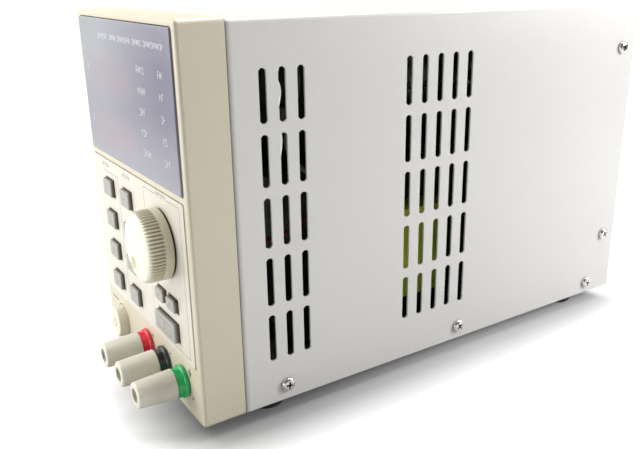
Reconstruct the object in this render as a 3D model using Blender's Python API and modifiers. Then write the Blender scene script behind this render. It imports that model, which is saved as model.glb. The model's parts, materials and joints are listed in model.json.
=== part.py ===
"""Bench power supply: moulded front bezel, folded steel cover, keys, knob, binding posts and internals.

Case coordinates, in metres: x runs right, y runs back from the bezel's front face, z up from its bottom.
The empty "case_frame" carries them into the world, whose origin is at bench level under the middle.
"""

import math

import bmesh
import bpy
from mathutils import Matrix

# Case
CASE_W, CASE_H, CASE_D = 0.110, 0.151, 0.240
BEZEL_D = 0.0175
BEZEL_WALL = 0.0025
FOOT_H = 0.005
POST_REACH = 0.020  # from the front face to the tip of a binding post
FIT = 0.0003  # clearance between neighbouring pieces
COVER_SHEET = 0.0008
CHASSIS_SHEET = 0.0012
COVER_SIDE_X = CASE_W / 2 - 0.0005  # outer face of the cover's side
COVER_TOP_Z = CASE_H - 0.0005
COVER_LOW_Z = 0.0008
COVER_FRONT_Y = BEZEL_D + 0.0004
COVER_BEND = 0.0018
FLANGE_X = COVER_SIDE_X - COVER_SHEET - FIT  # outer face of the chassis flanges inside the cover
REAR_PANEL_Y = CASE_D - 0.005

# Side vents: two groups of columns, each column five slots high
VENT_COLUMNS_Y = [0.031 + 0.00785 * i for i in range(3)] + [0.097 + 0.00815 * i for i in range(5)]
VENT_ROWS_TOP_Z = [0.1336 - 0.02355 * i for i in range(5)]
VENT_LENGTH, VENT_WIDTH = 0.0198, 0.0033

# Front panel
WINDOW_LEFT_X, WINDOW_RIGHT_X = -0.050, 0.0516
WINDOW_LOW_Z, WINDOW_TOP_Z = 0.0913, 0.1483
WINDOW_PROUD = 0.0008
WINDOW_FRAME = 0.004  # how far the window laps over its opening
OVERLAY_X, OVERLAY_LOW_Z, OVERLAY_TOP_Z = 0.051, 0.024, 0.0885
OVERLAY_PROUD = 0.0004
KEY_SIZE = (0.0105, 0.0076)
KEY_COLUMNS_X = {"memory_key": -0.0310, "function_key": -0.0087}
KEY_TOP_Z, KEY_PITCH = 0.0764, 0.0145
ARROW_KEY_SIZE, ARROW_KEY_Z = (0.0088, 0.0056), 0.0450
ARROW_KEYS_X = {"left_arrow_key": 0.0226, "right_arrow_key": 0.0343}
OUTPUT_KEY_SIZE, OUTPUT_KEY_AT = (0.0206, 0.0081), (0.0276, 0.03345)
KEY_PROUD, OUTPUT_KEY_PROUD = 0.0022, 0.0025
KEY_FLANGE = 0.001  # width and thickness of the rim behind the panel that keeps a key in
KEY_STEM, KEY_STEM_BACK = 0.0024, 0.0045
PANEL_HOLE_R = 0.0046  # for the encoder's bushing and each post's spigot
KNOB_AT = (0.0282, 0.0680)
KNOB_R, KNOB_GRIP_R, KNOB_RIBS = 0.0140, 0.0136, 60
KNOB_GROOVE = 0.0007  # depth of the grooves between its ribs
KNOB_BACK, KNOB_FRONT = 0.0008, 0.0114  # how far its skirt and its face stand out from the bezel
POWER_AT, POWER_R, POWER_PROUD = (-0.0344, 0.0108), 0.0075, 0.0045
POSTS_Z, POST_PITCH, MIDDLE_POST_X = 0.0130, 0.01905, 0.01815
SHAFT_R = 0.0030
POST_COLLAR_TOP = 0.0044  # how far a post's fixed collar stands out
STUD_R, SOCKET_R = 0.0027, 0.00205  # the socket takes a 4 mm plug
BOARD_Y = 0.0090  # front of the display board
BOARD_T = 0.0016
INDICATOR_COLUMNS_X = (0.0206, 0.0413)
INDICATOR_LOW_Z, INDICATOR_PITCH = 0.1010, 0.0078

# Side screws, (y, z) on each side
SCREWS_AT = [(0.0370, 0.0073), (0.1292, 0.0070), (0.2213, 0.0065), (0.2315, 0.0320), (0.2310, 0.1288)]
SCREW_HEAD_R, SCREW_HEAD_H, SCREW_R, SCREW_LENGTH = 0.0030, 0.0018, 0.0014, 0.006
FEET_AT = [(x, y) for y in (0.033, 0.213) for x in (-0.042, 0.042)]

# Inside and rear
CORE_X, CORE_Y, CORE_Z = (-0.018, 0.027), (0.0585, 0.1445), (0.0073, 0.0788)
CORE_LEG = 0.0143  # width of an outer leg and of a window; the middle leg is twice that
COIL_OVERHANG = 0.013
FAN_AT, FAN_SIZE, FAN_DEPTH = (-0.014, 0.100), 0.060, 0.025
FAN_BORE_R, FAN_HUB_R, FAN_BLADES = 0.0283, 0.0140, 7
FAN_Y = REAR_PANEL_Y - FIT - FAN_DEPTH
FAN_STRUT_REACH = 0.029
INLET_AT = (-0.029, 0.027)
INLET_FLANGE, INLET_FLANGE_T = (0.0310, 0.0300), 0.0022
INLET_BODY, INLET_BODY_DEPTH = (0.0278, 0.0270), 0.0225
INLET_SOCKET, INLET_SOCKET_UP, INLET_SOCKET_DEPTH = (0.0242, 0.0168), 0.0046, 0.0170
PIN, PIN_TIP_SUNK = (0.002, 0.004), 0.002
PINS_AT = ((-0.007, -0.002), (0.0, 0.002), (0.007, -0.002))  # from the middle of the socket
DRAWER, DRAWER_DOWN, DRAWER_LENGTH = (0.0216, 0.0066), 0.0098, 0.0190
SELECTOR_AT = (0.022, 0.022)
SELECTOR_PLATE, SELECTOR_PLATE_T = (0.0270, 0.0150), 0.0016
SELECTOR_BLOCK, SELECTOR_BLOCK_DEPTH = (0.0200, 0.0110), 0.0125
SELECTOR_TRACK, SELECTOR_TRACK_DEPTH = (0.0156, 0.0076), 0.0040
SLIDER = (0.0086, 0.0070)
MAIN_BOARD_Z = (0.0080, 0.0096)

OUTWARD = (math.radians(90), 0, 0)  # turns a piece's own z axis to face out of the front
ROUND_STEPS = 22

COLOURS = {  # name: (colour, roughness, metallic)
    "ivory_plastic": ((0.80, 0.76, 0.64), 0.45, 0.0),
    "overlay_film": ((0.86, 0.84, 0.76), 0.40, 0.0),
    "knob_ivory": ((0.82, 0.80, 0.66), 0.45, 0.0),
    "key_grey": ((0.42, 0.43, 0.40), 0.50, 0.0),
    "window_smoke": ((0.30, 0.31, 0.36), 0.12, 0.0),
    "cover_paint": ((0.76, 0.74, 0.72), 0.50, 0.0),
    "zinc_steel": ((0.60, 0.61, 0.62), 0.40, 1.0),
    "nickel": ((0.75, 0.74, 0.71), 0.25, 1.0),
    "rubber": ((0.03, 0.03, 0.03), 0.80, 0.0),
    "cap_beige": ((0.70, 0.68, 0.58), 0.45, 0.0),
    "red_gloss": ((0.70, 0.02, 0.02), 0.20, 0.0),
    "black_gloss": ((0.02, 0.02, 0.02), 0.20, 0.0),
    "green_gloss": ((0.02, 0.42, 0.12), 0.20, 0.0),
    "board_green": ((0.05, 0.25, 0.10), 0.50, 0.0),
    "black_plastic": ((0.03, 0.03, 0.03), 0.50, 0.0),
    "display_red": ((0.30, 0.05, 0.04), 0.40, 0.0),
    "core_steel": ((0.12, 0.12, 0.12), 0.50, 0.6),
    "coil_tape": ((0.72, 0.72, 0.10), 0.40, 0.0),
    "aluminium": ((0.70, 0.70, 0.72), 0.35, 1.0),
}


def clear_scene():
    for obj in list(bpy.data.objects):
        bpy.data.objects.remove(obj, do_unlink=True)


def material(name):
    made = bpy.data.materials.get(name)
    if made is None:
        made = bpy.data.materials.new(name)
        made.use_nodes = True
        shader = made.node_tree.nodes["Principled BSDF"]
        colour, roughness, metallic = COLOURS[name]
        shader.inputs["Base Color"].default_value = (*colour, 1.0)
        shader.inputs["Roughness"].default_value = roughness
        shader.inputs["Metallic"].default_value = metallic
    return made


def face_outward(bm):
    """Turns every closed shell of a bmesh the right way out, by the sign of its volume."""
    bmesh.ops.recalc_face_normals(bm, faces=bm.faces)
    left = set(bm.faces)
    while left:
        shell, reach = [], [left.pop()]
        while reach:
            face = reach.pop()
            shell.append(face)
            touching = {near for edge in face.edges for near in edge.link_faces} & left
            left -= touching
            reach.extend(touching)
        volume = 0.0
        for face in shell:
            first, *others = [vert.co for vert in face.verts]
            volume += sum(first.dot(a.cross(b)) for a, b in zip(others, others[1:]))
        if volume < 0:
            bmesh.ops.reverse_faces(bm, faces=shell)


def add(name, bm, at=(0, 0, 0), turn=(0, 0, 0), finish=None):
    """An object from a bmesh. With a finish it is a part, and without one a hidden cutter or filler."""
    mesh = bpy.data.meshes.new(name)
    face_outward(bm)
    bm.to_mesh(mesh)
    bm.free()
    obj = bpy.data.objects.new(name, mesh)
    if finish:
        PARTS.objects.link(obj)
        mesh.materials.append(material(finish))
    else:
        CUTTERS.objects.link(obj)
        obj.hide_render = True
        obj.display_type = "WIRE"
    obj.parent = CASE_FRAME
    obj.location = at
    obj.rotation_euler = turn
    return obj


def add_cuboid(bm, low, high):
    """Adds a cuboid with these corners to a bmesh and returns its vertices."""
    made = bmesh.ops.create_cube(bm, size=1.0)["verts"]
    for vert in made:
        for axis in range(3):
            middle, side = (low[axis] + high[axis]) / 2, high[axis] - low[axis]
            vert.co[axis] = middle + vert.co[axis] * side
    return made


def cuboids(name, corners, finish=None):
    """One object of separate cuboids, given as pairs of corners."""
    bm = bmesh.new()
    for low, high in corners:
        add_cuboid(bm, low, high)
    return add(name, bm, finish=finish)


def block(x, z, size, y0, y1):
    """The corners of a cuboid of this (width, height) about (x, z), from y0 back to y1."""
    width, high = size
    return ((x - width / 2, y0, z - high / 2), (x + width / 2, y1, z + high / 2))


def side_strips(name, outer_x, thickness, y0, y1, z0, z1):
    """Two upright strips, mirrored left and right, with their outer faces at outer_x."""
    inner_x = outer_x - thickness
    return cuboids(name, [((inner_x, y0, z0), (outer_x, y1, z1)), ((-outer_x, y0, z0), (-inner_x, y1, z1))])


def rounded_box(name, size, at, finish=None, corner=0.0, front_edge=0.0, steps=2):
    """A box centred on at. Its four edges along y get radius corner, then its front rim front_edge."""
    bm = bmesh.new()
    add_cuboid(bm, [-s / 2 for s in size], [s / 2 for s in size])
    if corner:
        along_y = [e for e in bm.edges if abs(e.verts[0].co.y - e.verts[1].co.y) > size[1] / 2]
        bmesh.ops.bevel(bm, geom=along_y, offset=corner, segments=steps, affect="EDGES", profile=0.5)
    if front_edge:
        rim = [e for e in bm.edges if all(v.co.y < -0.499 * size[1] for v in e.verts)]
        bmesh.ops.bevel(bm, geom=rim, offset=front_edge, segments=steps, affect="EDGES", profile=0.5)
    return add(name, bm, at, finish=finish)


def turned(name, profile, at, turn, finish=None, steps=ROUND_STEPS, closed=False):
    """A turned piece about its own z axis. The profile's (radius, height) points run down the outside."""
    bm = bmesh.new()
    verts = [bm.verts.new((radius, 0, height)) for radius, height in profile]
    for start, end in zip(verts, verts[1:]):
        bm.edges.new((start, end))
    if closed:
        bm.edges.new((verts[-1], verts[0]))
    obj = add(name, bm, at, turn, finish)
    screw = obj.modifiers.new("turn", "SCREW")
    screw.steps = screw.render_steps = steps
    screw.use_merge_vertices = True
    screw.merge_threshold = 0.00001
    screw.use_smooth_shade = True
    return obj


def cylinder(name, radius, depth, at, turn=OUTWARD, steps=ROUND_STEPS):
    """A hidden cylinder centred on at, along its own z axis."""
    bm = bmesh.new()
    bmesh.ops.create_cone(bm, cap_ends=True, segments=steps, radius1=radius, radius2=radius, depth=depth)
    return add(name, bm, at, turn)


def add_slot(bm, middle, length, width, depth, through, along, steps=8):
    """Adds a round-ended slot cutter. It goes through one axis, and its length runs along another."""
    made = bmesh.ops.create_cone(
        bm, cap_ends=True, segments=steps, radius1=width / 2, radius2=width / 2, depth=depth
    )["verts"]
    half_step = Matrix.Rotation(math.pi / steps, 3, "Z")  # so that no corner lies on an axis
    axis_through, axis_along = "xyz".index(through), "xyz".index(along)
    axis_across = 3 - axis_through - axis_along
    for vert in made:
        across, lengthwise, deep = half_step @ vert.co
        lengthwise += math.copysign((length - width) / 2, lengthwise)
        vert.co[axis_through] = middle[axis_through] + deep
        vert.co[axis_along] = middle[axis_along] + lengthwise
        vert.co[axis_across] = middle[axis_across] + across


def boolean(obj, other, operation):
    modifier = obj.modifiers.new(operation.lower() + "_" + other.name, "BOOLEAN")
    modifier.operation = operation
    modifier.object = other
    return obj


def cut(obj, *cutters):
    for cutter in cutters:
        boolean(obj, cutter, "DIFFERENCE")
    return obj


def join(obj, *fillers):
    for filler in fillers:
        boolean(obj, filler, "UNION")
    return obj


def key_layout():
    """(name, x, z, (width, height), how far it stands proud) of every key."""
    keys = []
    for kind, x in KEY_COLUMNS_X.items():
        for row in range(4):
            keys.append((f"{kind}_{row + 1}", x, KEY_TOP_Z - row * KEY_PITCH, KEY_SIZE, KEY_PROUD))
    for name, x in ARROW_KEYS_X.items():
        keys.append((name, x, ARROW_KEY_Z, ARROW_KEY_SIZE, KEY_PROUD))
    keys.append(("output_key", *OUTPUT_KEY_AT, OUTPUT_KEY_SIZE, OUTPUT_KEY_PROUD))
    return keys


def post_layout():
    colours = ("red", "black", "green")
    return [(colour, MIDDLE_POST_X + (i - 1) * POST_PITCH) for i, colour in enumerate(colours)]


def make_bezel():
    depth = BEZEL_D
    bezel = rounded_box(
        "front_bezel", (CASE_W, depth, CASE_H), (0, depth / 2, CASE_H / 2),
        "ivory_plastic", corner=0.0022, front_edge=0.0014, steps=3,
    )
    hollow = rounded_box(
        "bezel_hollow",
        (CASE_W - 2 * BEZEL_WALL, depth, CASE_H - 2 * BEZEL_WALL),
        (0, depth / 2 + BEZEL_WALL, CASE_H / 2),
    )
    window_x, window_w = (WINDOW_LEFT_X + WINDOW_RIGHT_X) / 2, WINDOW_RIGHT_X - WINDOW_LEFT_X
    window_z, window_h = (WINDOW_LOW_Z + WINDOW_TOP_Z) / 2, WINDOW_TOP_Z - WINDOW_LOW_Z
    window_seat = rounded_box(
        "window_seat", (window_w + 2 * FIT, 0.003, window_h + 2 * FIT), (window_x, 0, window_z), corner=0.001
    )
    window_hole = rounded_box(
        "window_hole", (window_w - 2 * WINDOW_FRAME, 0.010, window_h - 2 * WINDOW_FRAME),
        (window_x, 0, window_z),
    )
    overlay_z = (OVERLAY_LOW_Z + OVERLAY_TOP_Z) / 2
    overlay_h = OVERLAY_TOP_Z - OVERLAY_LOW_Z
    overlay_seat = rounded_box(
        "overlay_seat", (2 * OVERLAY_X + 2 * FIT, 0.001, overlay_h + 2 * FIT), (0, 0, overlay_z), corner=0.001
    )
    key_holes = cuboids("key_holes", [
        block(x, z, (w + 2 * FIT, h + 2 * FIT), -2 * BEZEL_WALL, 2 * BEZEL_WALL)
        for _, x, z, (w, h), _ in key_layout()
    ])
    through = 4 * BEZEL_WALL
    knob_hole = cylinder("knob_hole", PANEL_HOLE_R, through, (KNOB_AT[0], 0, KNOB_AT[1]))
    power_hole = cylinder("power_hole", POWER_R + FIT, through, (POWER_AT[0], 0, POWER_AT[1]), steps=32)
    cut(bezel, hollow, window_seat, window_hole, overlay_seat, key_holes, knob_hole, power_hole)
    for colour, x in post_layout():
        cut(bezel, cylinder(f"{colour}_post_hole", PANEL_HOLE_R, through, (x, 0, POSTS_Z), steps=20))

    thickness = 0.002
    rounded_box(
        "display_window", (window_w, thickness, window_h),
        (window_x, thickness / 2 - WINDOW_PROUD, window_z), "window_smoke", corner=0.001, front_edge=0.0004,
    )
    thickness = 0.0006
    overlay = rounded_box(
        "control_overlay", (2 * OVERLAY_X, thickness, overlay_h),
        (0, thickness / 2 - OVERLAY_PROUD, overlay_z), "overlay_film", corner=0.001, front_edge=0.0002,
    )
    cut(overlay, key_holes, knob_hole)


def make_keys():
    for name, x, z, (width, height), proud in key_layout():
        flange_y = BEZEL_WALL + FIT
        depth = proud + flange_y + KEY_FLANGE / 5
        key = rounded_box(
            name, (width, depth, height), (x, depth / 2 - proud, z), "key_grey",
            corner=0.0014 if "arrow" in name else 0.0008, front_edge=0.0009,
        )
        rim = (width + 2 * KEY_FLANGE, height + 2 * KEY_FLANGE)
        flange = cuboids(f"{name}_flange", [block(x, z, rim, flange_y, flange_y + KEY_FLANGE)])
        stem = cuboids(f"{name}_stem", [block(x, z, (KEY_STEM, KEY_STEM), flange_y, KEY_STEM_BACK)])
        join(key, flange, stem)


def make_knob():
    """The knob with its grip ribs and finger dimple, and the flatted shaft that it turns."""
    at = (KNOB_AT[0], 0, KNOB_AT[1])
    face, dome_start, hub_r = KNOB_FRONT, KNOB_FRONT - 0.0026, SHAFT_R + 0.0022
    shoulder = [
        (KNOB_GRIP_R - 0.0008 - 0.0034 * (1 - math.cos(a)), dome_start + 0.0022 * math.sin(a))
        for a in (math.radians(72), math.radians(48), math.radians(24), 0)
    ]
    profile = [(0, face), (0.0075, face - 0.0001)] + shoulder + [
        (KNOB_GRIP_R - 0.0004, 0.0048), (KNOB_R - 0.0002, 0.0044), (KNOB_R, 0.0040), (KNOB_R, KNOB_BACK),
        (KNOB_R - 0.001, KNOB_BACK), (KNOB_R - 0.001, 0.0026), (hub_r, 0.0026), (hub_r, KNOB_BACK),
        (0, KNOB_BACK),
    ]
    knob = turned("adjust_knob", profile, at, OUTWARD, "knob_ivory", steps=30)
    bm = bmesh.new()
    bmesh.ops.create_cone(
        bm, cap_ends=True, segments=2 * KNOB_RIBS, radius1=KNOB_GRIP_R, radius2=KNOB_GRIP_R - 0.0006,
        depth=0.0053,
    )
    for vert in bm.verts:
        rib = round(math.atan2(vert.co.y, vert.co.x) / (math.pi / KNOB_RIBS))
        if rib % 2:
            vert.co.x *= 1 - KNOB_GROOVE / KNOB_GRIP_R
            vert.co.y *= 1 - KNOB_GROOVE / KNOB_GRIP_R
    ribs = add("grip_ribs", bm, (at[0], -0.0069, at[2]), OUTWARD)
    bm = bmesh.new()
    bmesh.ops.create_uvsphere(bm, u_segments=16, v_segments=10, radius=0.0062)
    dimple = add("finger_dimple", bm, (at[0] - 0.0031, -KNOB_FRONT - 0.0049, at[2] - 0.0074))
    out, behind = 0.0090, 0.0077  # how far the shaft reaches out of the panel and back into the encoder
    bore = cylinder("knob_bore", SHAFT_R + FIT, 2 * (out + FIT), at, steps=20)
    cut(join(knob, ribs), dimple, bore)

    edge = 0.0003
    profile = [(0, out), (SHAFT_R - edge, out), (SHAFT_R, out - edge), (SHAFT_R, -behind), (0, -behind)]
    shaft = turned("encoder_shaft", profile, at, OUTWARD, "nickel", steps=20)
    flat = cuboids("shaft_flat", [block(at[0], at[2] + 0.0031, (0.008, 0.0018), -out - 0.0005, -0.0025)])
    cut(shaft, flat)


def make_power_button():
    """Round latching button, and the mains switch block that it presses."""
    at = (POWER_AT[0], 0, POWER_AT[1])
    rim_r, stem_r = POWER_R + 0.0007, 0.0020
    profile = [
        (0, POWER_PROUD), (POWER_R - 0.0016, POWER_PROUD), (POWER_R - 0.0007, POWER_PROUD - 0.0004),
        (POWER_R - 0.0003, POWER_PROUD - 0.0012), (POWER_R, -0.0030), (rim_r, -0.0030),
        (rim_r, -0.0040), (stem_r, -0.0040), (stem_r, -0.0090), (0, -0.0090),
    ]
    turned("power_button", profile, at, OUTWARD, "ivory_plastic", steps=28)
    switch = rounded_box("power_switch", (0.014, 0.024, 0.0116), (at[0], 0.0205, at[2]), "black_plastic")
    cut(switch, cylinder("switch_bore", stem_r + 0.0005, 0.010, (at[0], 0.0085, at[2]), steps=16))


def make_posts():
    """Each binding post: fixed collar and socket stud, screw cap, and the clamp ring that the cap carries."""
    for colour, x in post_layout():
        at = (x, 0, POSTS_Z)
        bore, top = STUD_R + FIT, POST_COLLAR_TOP
        collar = [
            (bore, top), (0.0057, top), (0.0060, top - 0.0004), (0.0062, 0.0016), (0.0067, 0.0012),
            (0.0067, FIT), (0.0042, FIT), (0.0042, -0.0028), (bore, -0.0028),
        ]
        turned(f"{colour}_post_collar", collar, at, OUTWARD, f"{colour}_gloss", closed=True)
        stud = [
            (0, -0.002), (SOCKET_R, -0.002), (SOCKET_R, 0.0165), (STUD_R, 0.0165), (STUD_R, -0.0032),
            (0.0050, -0.0032), (0.0050, -0.0060), (STUD_R, -0.0060), (STUD_R, -0.0140), (0, -0.0140),
        ]
        turned(f"{colour}_post_stud", stud, at, OUTWARD, "nickel", steps=16)
        ring = [(bore, 0.0060), (0.0046, 0.0060), (0.0046, top + FIT), (bore, top + FIT)]
        turned(f"{colour}_post_clamp_ring", ring, at, OUTWARD, "nickel", steps=16, closed=True)
        tip, foot = POST_REACH, top + FIT
        cap = [
            (bore, tip), (0.0045, tip), (0.0050, tip - 0.0002), (0.0053, tip - 0.0008),
            (0.0061, foot + 0.0004), (0.0059, foot), (0.0049, foot), (0.0049, 0.0063), (bore, 0.0063),
        ]
        turned(f"{colour}_post_cap", cap, at, OUTWARD, "cap_beige", closed=True)


def make_cover():
    """Folded steel cover: top and two sides in one sheet, open below, with slotted sides."""
    depth = CASE_D - COVER_FRONT_Y
    middle_y = COVER_FRONT_Y + depth / 2
    high = COVER_TOP_Z - COVER_LOW_Z
    cover = rounded_box(
        "top_cover", (2 * COVER_SIDE_X, depth, high), (0, middle_y, COVER_LOW_Z + high / 2),
        "cover_paint", corner=COVER_BEND, steps=3,
    )
    spare = 0.01
    inner = rounded_box(
        "cover_hollow", (2 * (COVER_SIDE_X - COVER_SHEET), depth + spare, high + spare - COVER_SHEET),
        (0, middle_y, COVER_LOW_Z + (high - spare - COVER_SHEET) / 2), corner=COVER_BEND - COVER_SHEET,
    )
    skirt = side_strips(  # squares off the two lower corners that the outer rounding took
        "cover_skirt_fill", COVER_SIDE_X, COVER_SHEET, COVER_FRONT_Y, CASE_D, COVER_LOW_Z, COVER_LOW_Z + 0.004
    )
    bm = bmesh.new()
    for y in VENT_COLUMNS_Y:
        for top in VENT_ROWS_TOP_Z:
            add_slot(bm, (0, y, top - VENT_LENGTH / 2), VENT_LENGTH, VENT_WIDTH, CASE_W + 0.01, "x", "z")
    vents = add("vent_slots", bm)
    join(cut(cover, inner), skirt)
    cut(cover, vents, screw_holes())


def screw_holes():
    """One cutter for the screw holes of the cover and of the flanges behind it."""
    if "screw_holes" in bpy.data.objects:
        return bpy.data.objects["screw_holes"]
    bm = bmesh.new()
    for y, z in SCREWS_AT:
        add_slot(bm, (0, y, z), 2 * SCREW_R + 0.0007, 2 * SCREW_R + 0.0006, CASE_W + 0.01, "x", "z")
    return add("screw_holes", bm)


def make_screws():
    """Pan head screws with a cross recess, five to a side."""
    profile = [
        (0, SCREW_HEAD_H), (0.0018, SCREW_HEAD_H - 0.0003), (0.0027, SCREW_HEAD_H - 0.0010),
        (SCREW_HEAD_R, 0.0001), (SCREW_R, 0.0001), (0.0009, -SCREW_LENGTH), (0, -SCREW_LENGTH),
    ]
    recess_low = SCREW_HEAD_H - 0.0011
    for side, sign in (("right", 1), ("left", -1)):
        for i, (y, z) in enumerate(SCREWS_AT):
            at = (sign * COVER_SIDE_X, y, z)
            tilt = math.radians(20 + 37 * i)
            turn = (0, sign * math.radians(90), 0)
            screw = turned(f"{side}_cover_screw_{i + 1}", profile, at, turn, "nickel", steps=14)
            bm = bmesh.new()
            for angle in (tilt, tilt + math.pi / 2):
                blade = add_cuboid(bm, (-0.0017, -0.0003, recess_low), (0.0017, 0.0003, SCREW_HEAD_H + 0.001))
                bmesh.ops.rotate(bm, verts=blade, matrix=Matrix.Rotation(angle, 3, "Z"))
            recess = add(f"{side}_recess_{i + 1}", bm, at, turn)
            modifier = boolean(screw, recess, "DIFFERENCE").modifiers[-1]
            modifier.use_self = True


def make_chassis():
    """Folded base tray with side flanges and a front lip, the flanged rear panel, and the rubber feet."""
    low, front, rear = 0.0010, COVER_FRONT_Y + FIT, REAR_PANEL_Y - FIT
    floor_top = low + CHASSIS_SHEET
    base = cuboids("chassis_base", [((-FLANGE_X, front, low), (FLANGE_X, rear, floor_top))], "zinc_steel")
    flange_end = REAR_PANEL_Y - 0.0115  # clear of the rear panel's own flanges
    flanges = side_strips("base_flanges", FLANGE_X, CHASSIS_SHEET, front, flange_end, low, low + 0.012)
    lip = cuboids("base_front_lip", [((-0.020, front, low), (0.050, front + CHASSIS_SHEET, low + 0.010))])
    join(base, flanges, lip)
    cut(base, screw_holes())
    bm = bmesh.new()
    for i in range(4):
        for x in (-0.036, 0.043):
            add_slot(bm, (x, 0.085 + 0.011 * i, low), 0.012, 0.003, 0.006, "z", "x")
    cut(base, add("floor_vents", bm))

    panel_low, panel_high = floor_top + 2 * FIT, COVER_TOP_Z - COVER_SHEET - FIT
    panel_front, panel_back = REAR_PANEL_Y, REAR_PANEL_Y + CHASSIS_SHEET
    sheet = [((-FLANGE_X, panel_front, panel_low), (FLANGE_X, panel_back, panel_high))]
    panel = cuboids("rear_panel", sheet, "zinc_steel")
    flange_front, flange_back = panel_front - 0.010, panel_front + 0.0005
    sides = side_strips(
        "rear_panel_flanges", FLANGE_X, CHASSIS_SHEET, flange_front, flange_back, panel_low, panel_high
    )
    join(panel, sides)
    cut(panel, fan_grille(), screw_holes(), rear_cutouts())

    foot = [(0, 0.0007), (0.0088, 0.0007), (0.0090, 0.0004), (0.0080, -FOOT_H + 0.0006), (0.0074, -FOOT_H),
            (0.0035, -FOOT_H), (0.0035, -FOOT_H + 0.0025), (0, -FOOT_H + 0.0025)]
    names = ("front_left_foot", "front_right_foot", "rear_left_foot", "rear_right_foot")
    for name, (x, y) in zip(names, FEET_AT):
        turned(name, foot, (x, y, 0), (0, 0, 0), "rubber", steps=16)


def fan_grille():
    """Rows of slots, in two halves, that fill a circle in front of the fan."""
    bm = bmesh.new()
    rows, rib, slot_width = 9, 0.004, 0.0036
    pitch = 2 * FAN_BORE_R / rows
    for row in range(rows):
        dz = (row - (rows - 1) / 2) * pitch
        half_chord = math.sqrt(FAN_BORE_R**2 - (abs(dz) + slot_width / 2 - 0.0002) ** 2)
        length = half_chord - rib / 2
        for side in (-1, 1):
            x = FAN_AT[0] + side * (rib / 2 + length / 2)
            add_slot(bm, (x, REAR_PANEL_Y, FAN_AT[1] + dz), length, slot_width, 0.01, "y", "x")
    return add("fan_grille_slots", bm)


def rear_cutouts():
    front, back = REAR_PANEL_Y - 0.005, CASE_D
    inlet = (INLET_BODY[0] + 2 * FIT, INLET_BODY[1] + 2 * FIT)
    selector = (SELECTOR_BLOCK[0] + 2 * FIT, SELECTOR_BLOCK[1] + 2 * FIT)
    return cuboids("rear_cutouts", [
        block(*INLET_AT, inlet, front, back), block(*SELECTOR_AT, selector, front, back)
    ])


def make_inlet():
    """Mains inlet with three pins, and the fuse drawer that slides in below them."""
    x, z = INLET_AT
    flange_front = REAR_PANEL_Y + CHASSIS_SHEET + FIT
    flange_back = flange_front + INLET_FLANGE_T
    inlet = cuboids("mains_inlet", [block(x, z, INLET_FLANGE, flange_front, flange_back)], "black_plastic")
    body_front = flange_back - INLET_BODY_DEPTH
    body = cuboids("inlet_body", [block(x, z, INLET_BODY, body_front, flange_front + INLET_FLANGE_T / 2)])
    socket_z = z + INLET_SOCKET_UP
    socket_size = (INLET_SOCKET[0], 2 * INLET_SOCKET_DEPTH, INLET_SOCKET[1])
    socket = rounded_box("inlet_socket", socket_size, (x, flange_back, socket_z), corner=0.0022, steps=1)
    pin_base = flange_back - INLET_SOCKET_DEPTH - 0.0005
    pins = cuboids("inlet_pins", [
        block(x + dx, socket_z + dz, PIN, pin_base, flange_back - PIN_TIP_SUNK) for dx, dz in PINS_AT
    ])
    width, high = DRAWER
    drawer_z = z - DRAWER_DOWN
    drawer_front, drawer_back = flange_back - DRAWER_LENGTH, flange_back + 0.0006
    slot_size = (width + 2 * FIT, high + 2 * FIT)
    slot = cuboids("drawer_slot", [block(x, drawer_z, slot_size, drawer_front - 0.0005, CASE_D)])
    join(cut(join(inlet, body), socket, slot), pins)

    drawer = cuboids("fuse_drawer", [block(x, drawer_z, DRAWER, drawer_front, drawer_back)], "black_plastic")
    wall, low = 0.001, drawer_z - high / 2
    hollow = cuboids("fuse_tray", [(
        (x - width / 2 + wall, drawer_front + wall, low + 0.0012),
        (x + width / 2 - wall, flange_back - 0.0020, drawer_z + high),
    )])
    grip = ((x - 0.003, flange_back - 0.0006, low - high), (x + 0.003, CASE_D, low + 0.0016))
    notch = cuboids("drawer_grip", [grip])
    cut(drawer, hollow, notch)


def make_voltage_selector():
    """Recessed slide switch beside the inlet: a housing with a track, and its slotted slider."""
    x, z = SELECTOR_AT
    front = REAR_PANEL_Y + CHASSIS_SHEET + FIT  # of the plate that laps over the panel
    plate = [block(x, z, SELECTOR_PLATE, front, front + SELECTOR_PLATE_T)]
    housing = cuboids("voltage_selector_housing", plate, "black_plastic")
    body = cuboids("selector_block", [
        block(x, z, SELECTOR_BLOCK, front - SELECTOR_BLOCK_DEPTH, front + SELECTOR_PLATE_T / 2)
    ])
    track_front = front - SELECTOR_TRACK_DEPTH
    track = cuboids("selector_track", [block(x, z, SELECTOR_TRACK, track_front, CASE_D)])
    cut(join(housing, body), track)
    slider_x = x - (SELECTOR_TRACK[0] - SLIDER[0]) / 2 + 0.0004
    slider_back = front + 0.0006
    knob = block(slider_x, z, SLIDER, track_front + 0.0004, slider_back)
    slider = cuboids("voltage_selector_slider", [knob], "red_gloss")
    cut(slider, cuboids("slider_slit", [block(slider_x, z, (0.0042, 0.0012), slider_back - 0.001, CASE_D)]))


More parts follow.
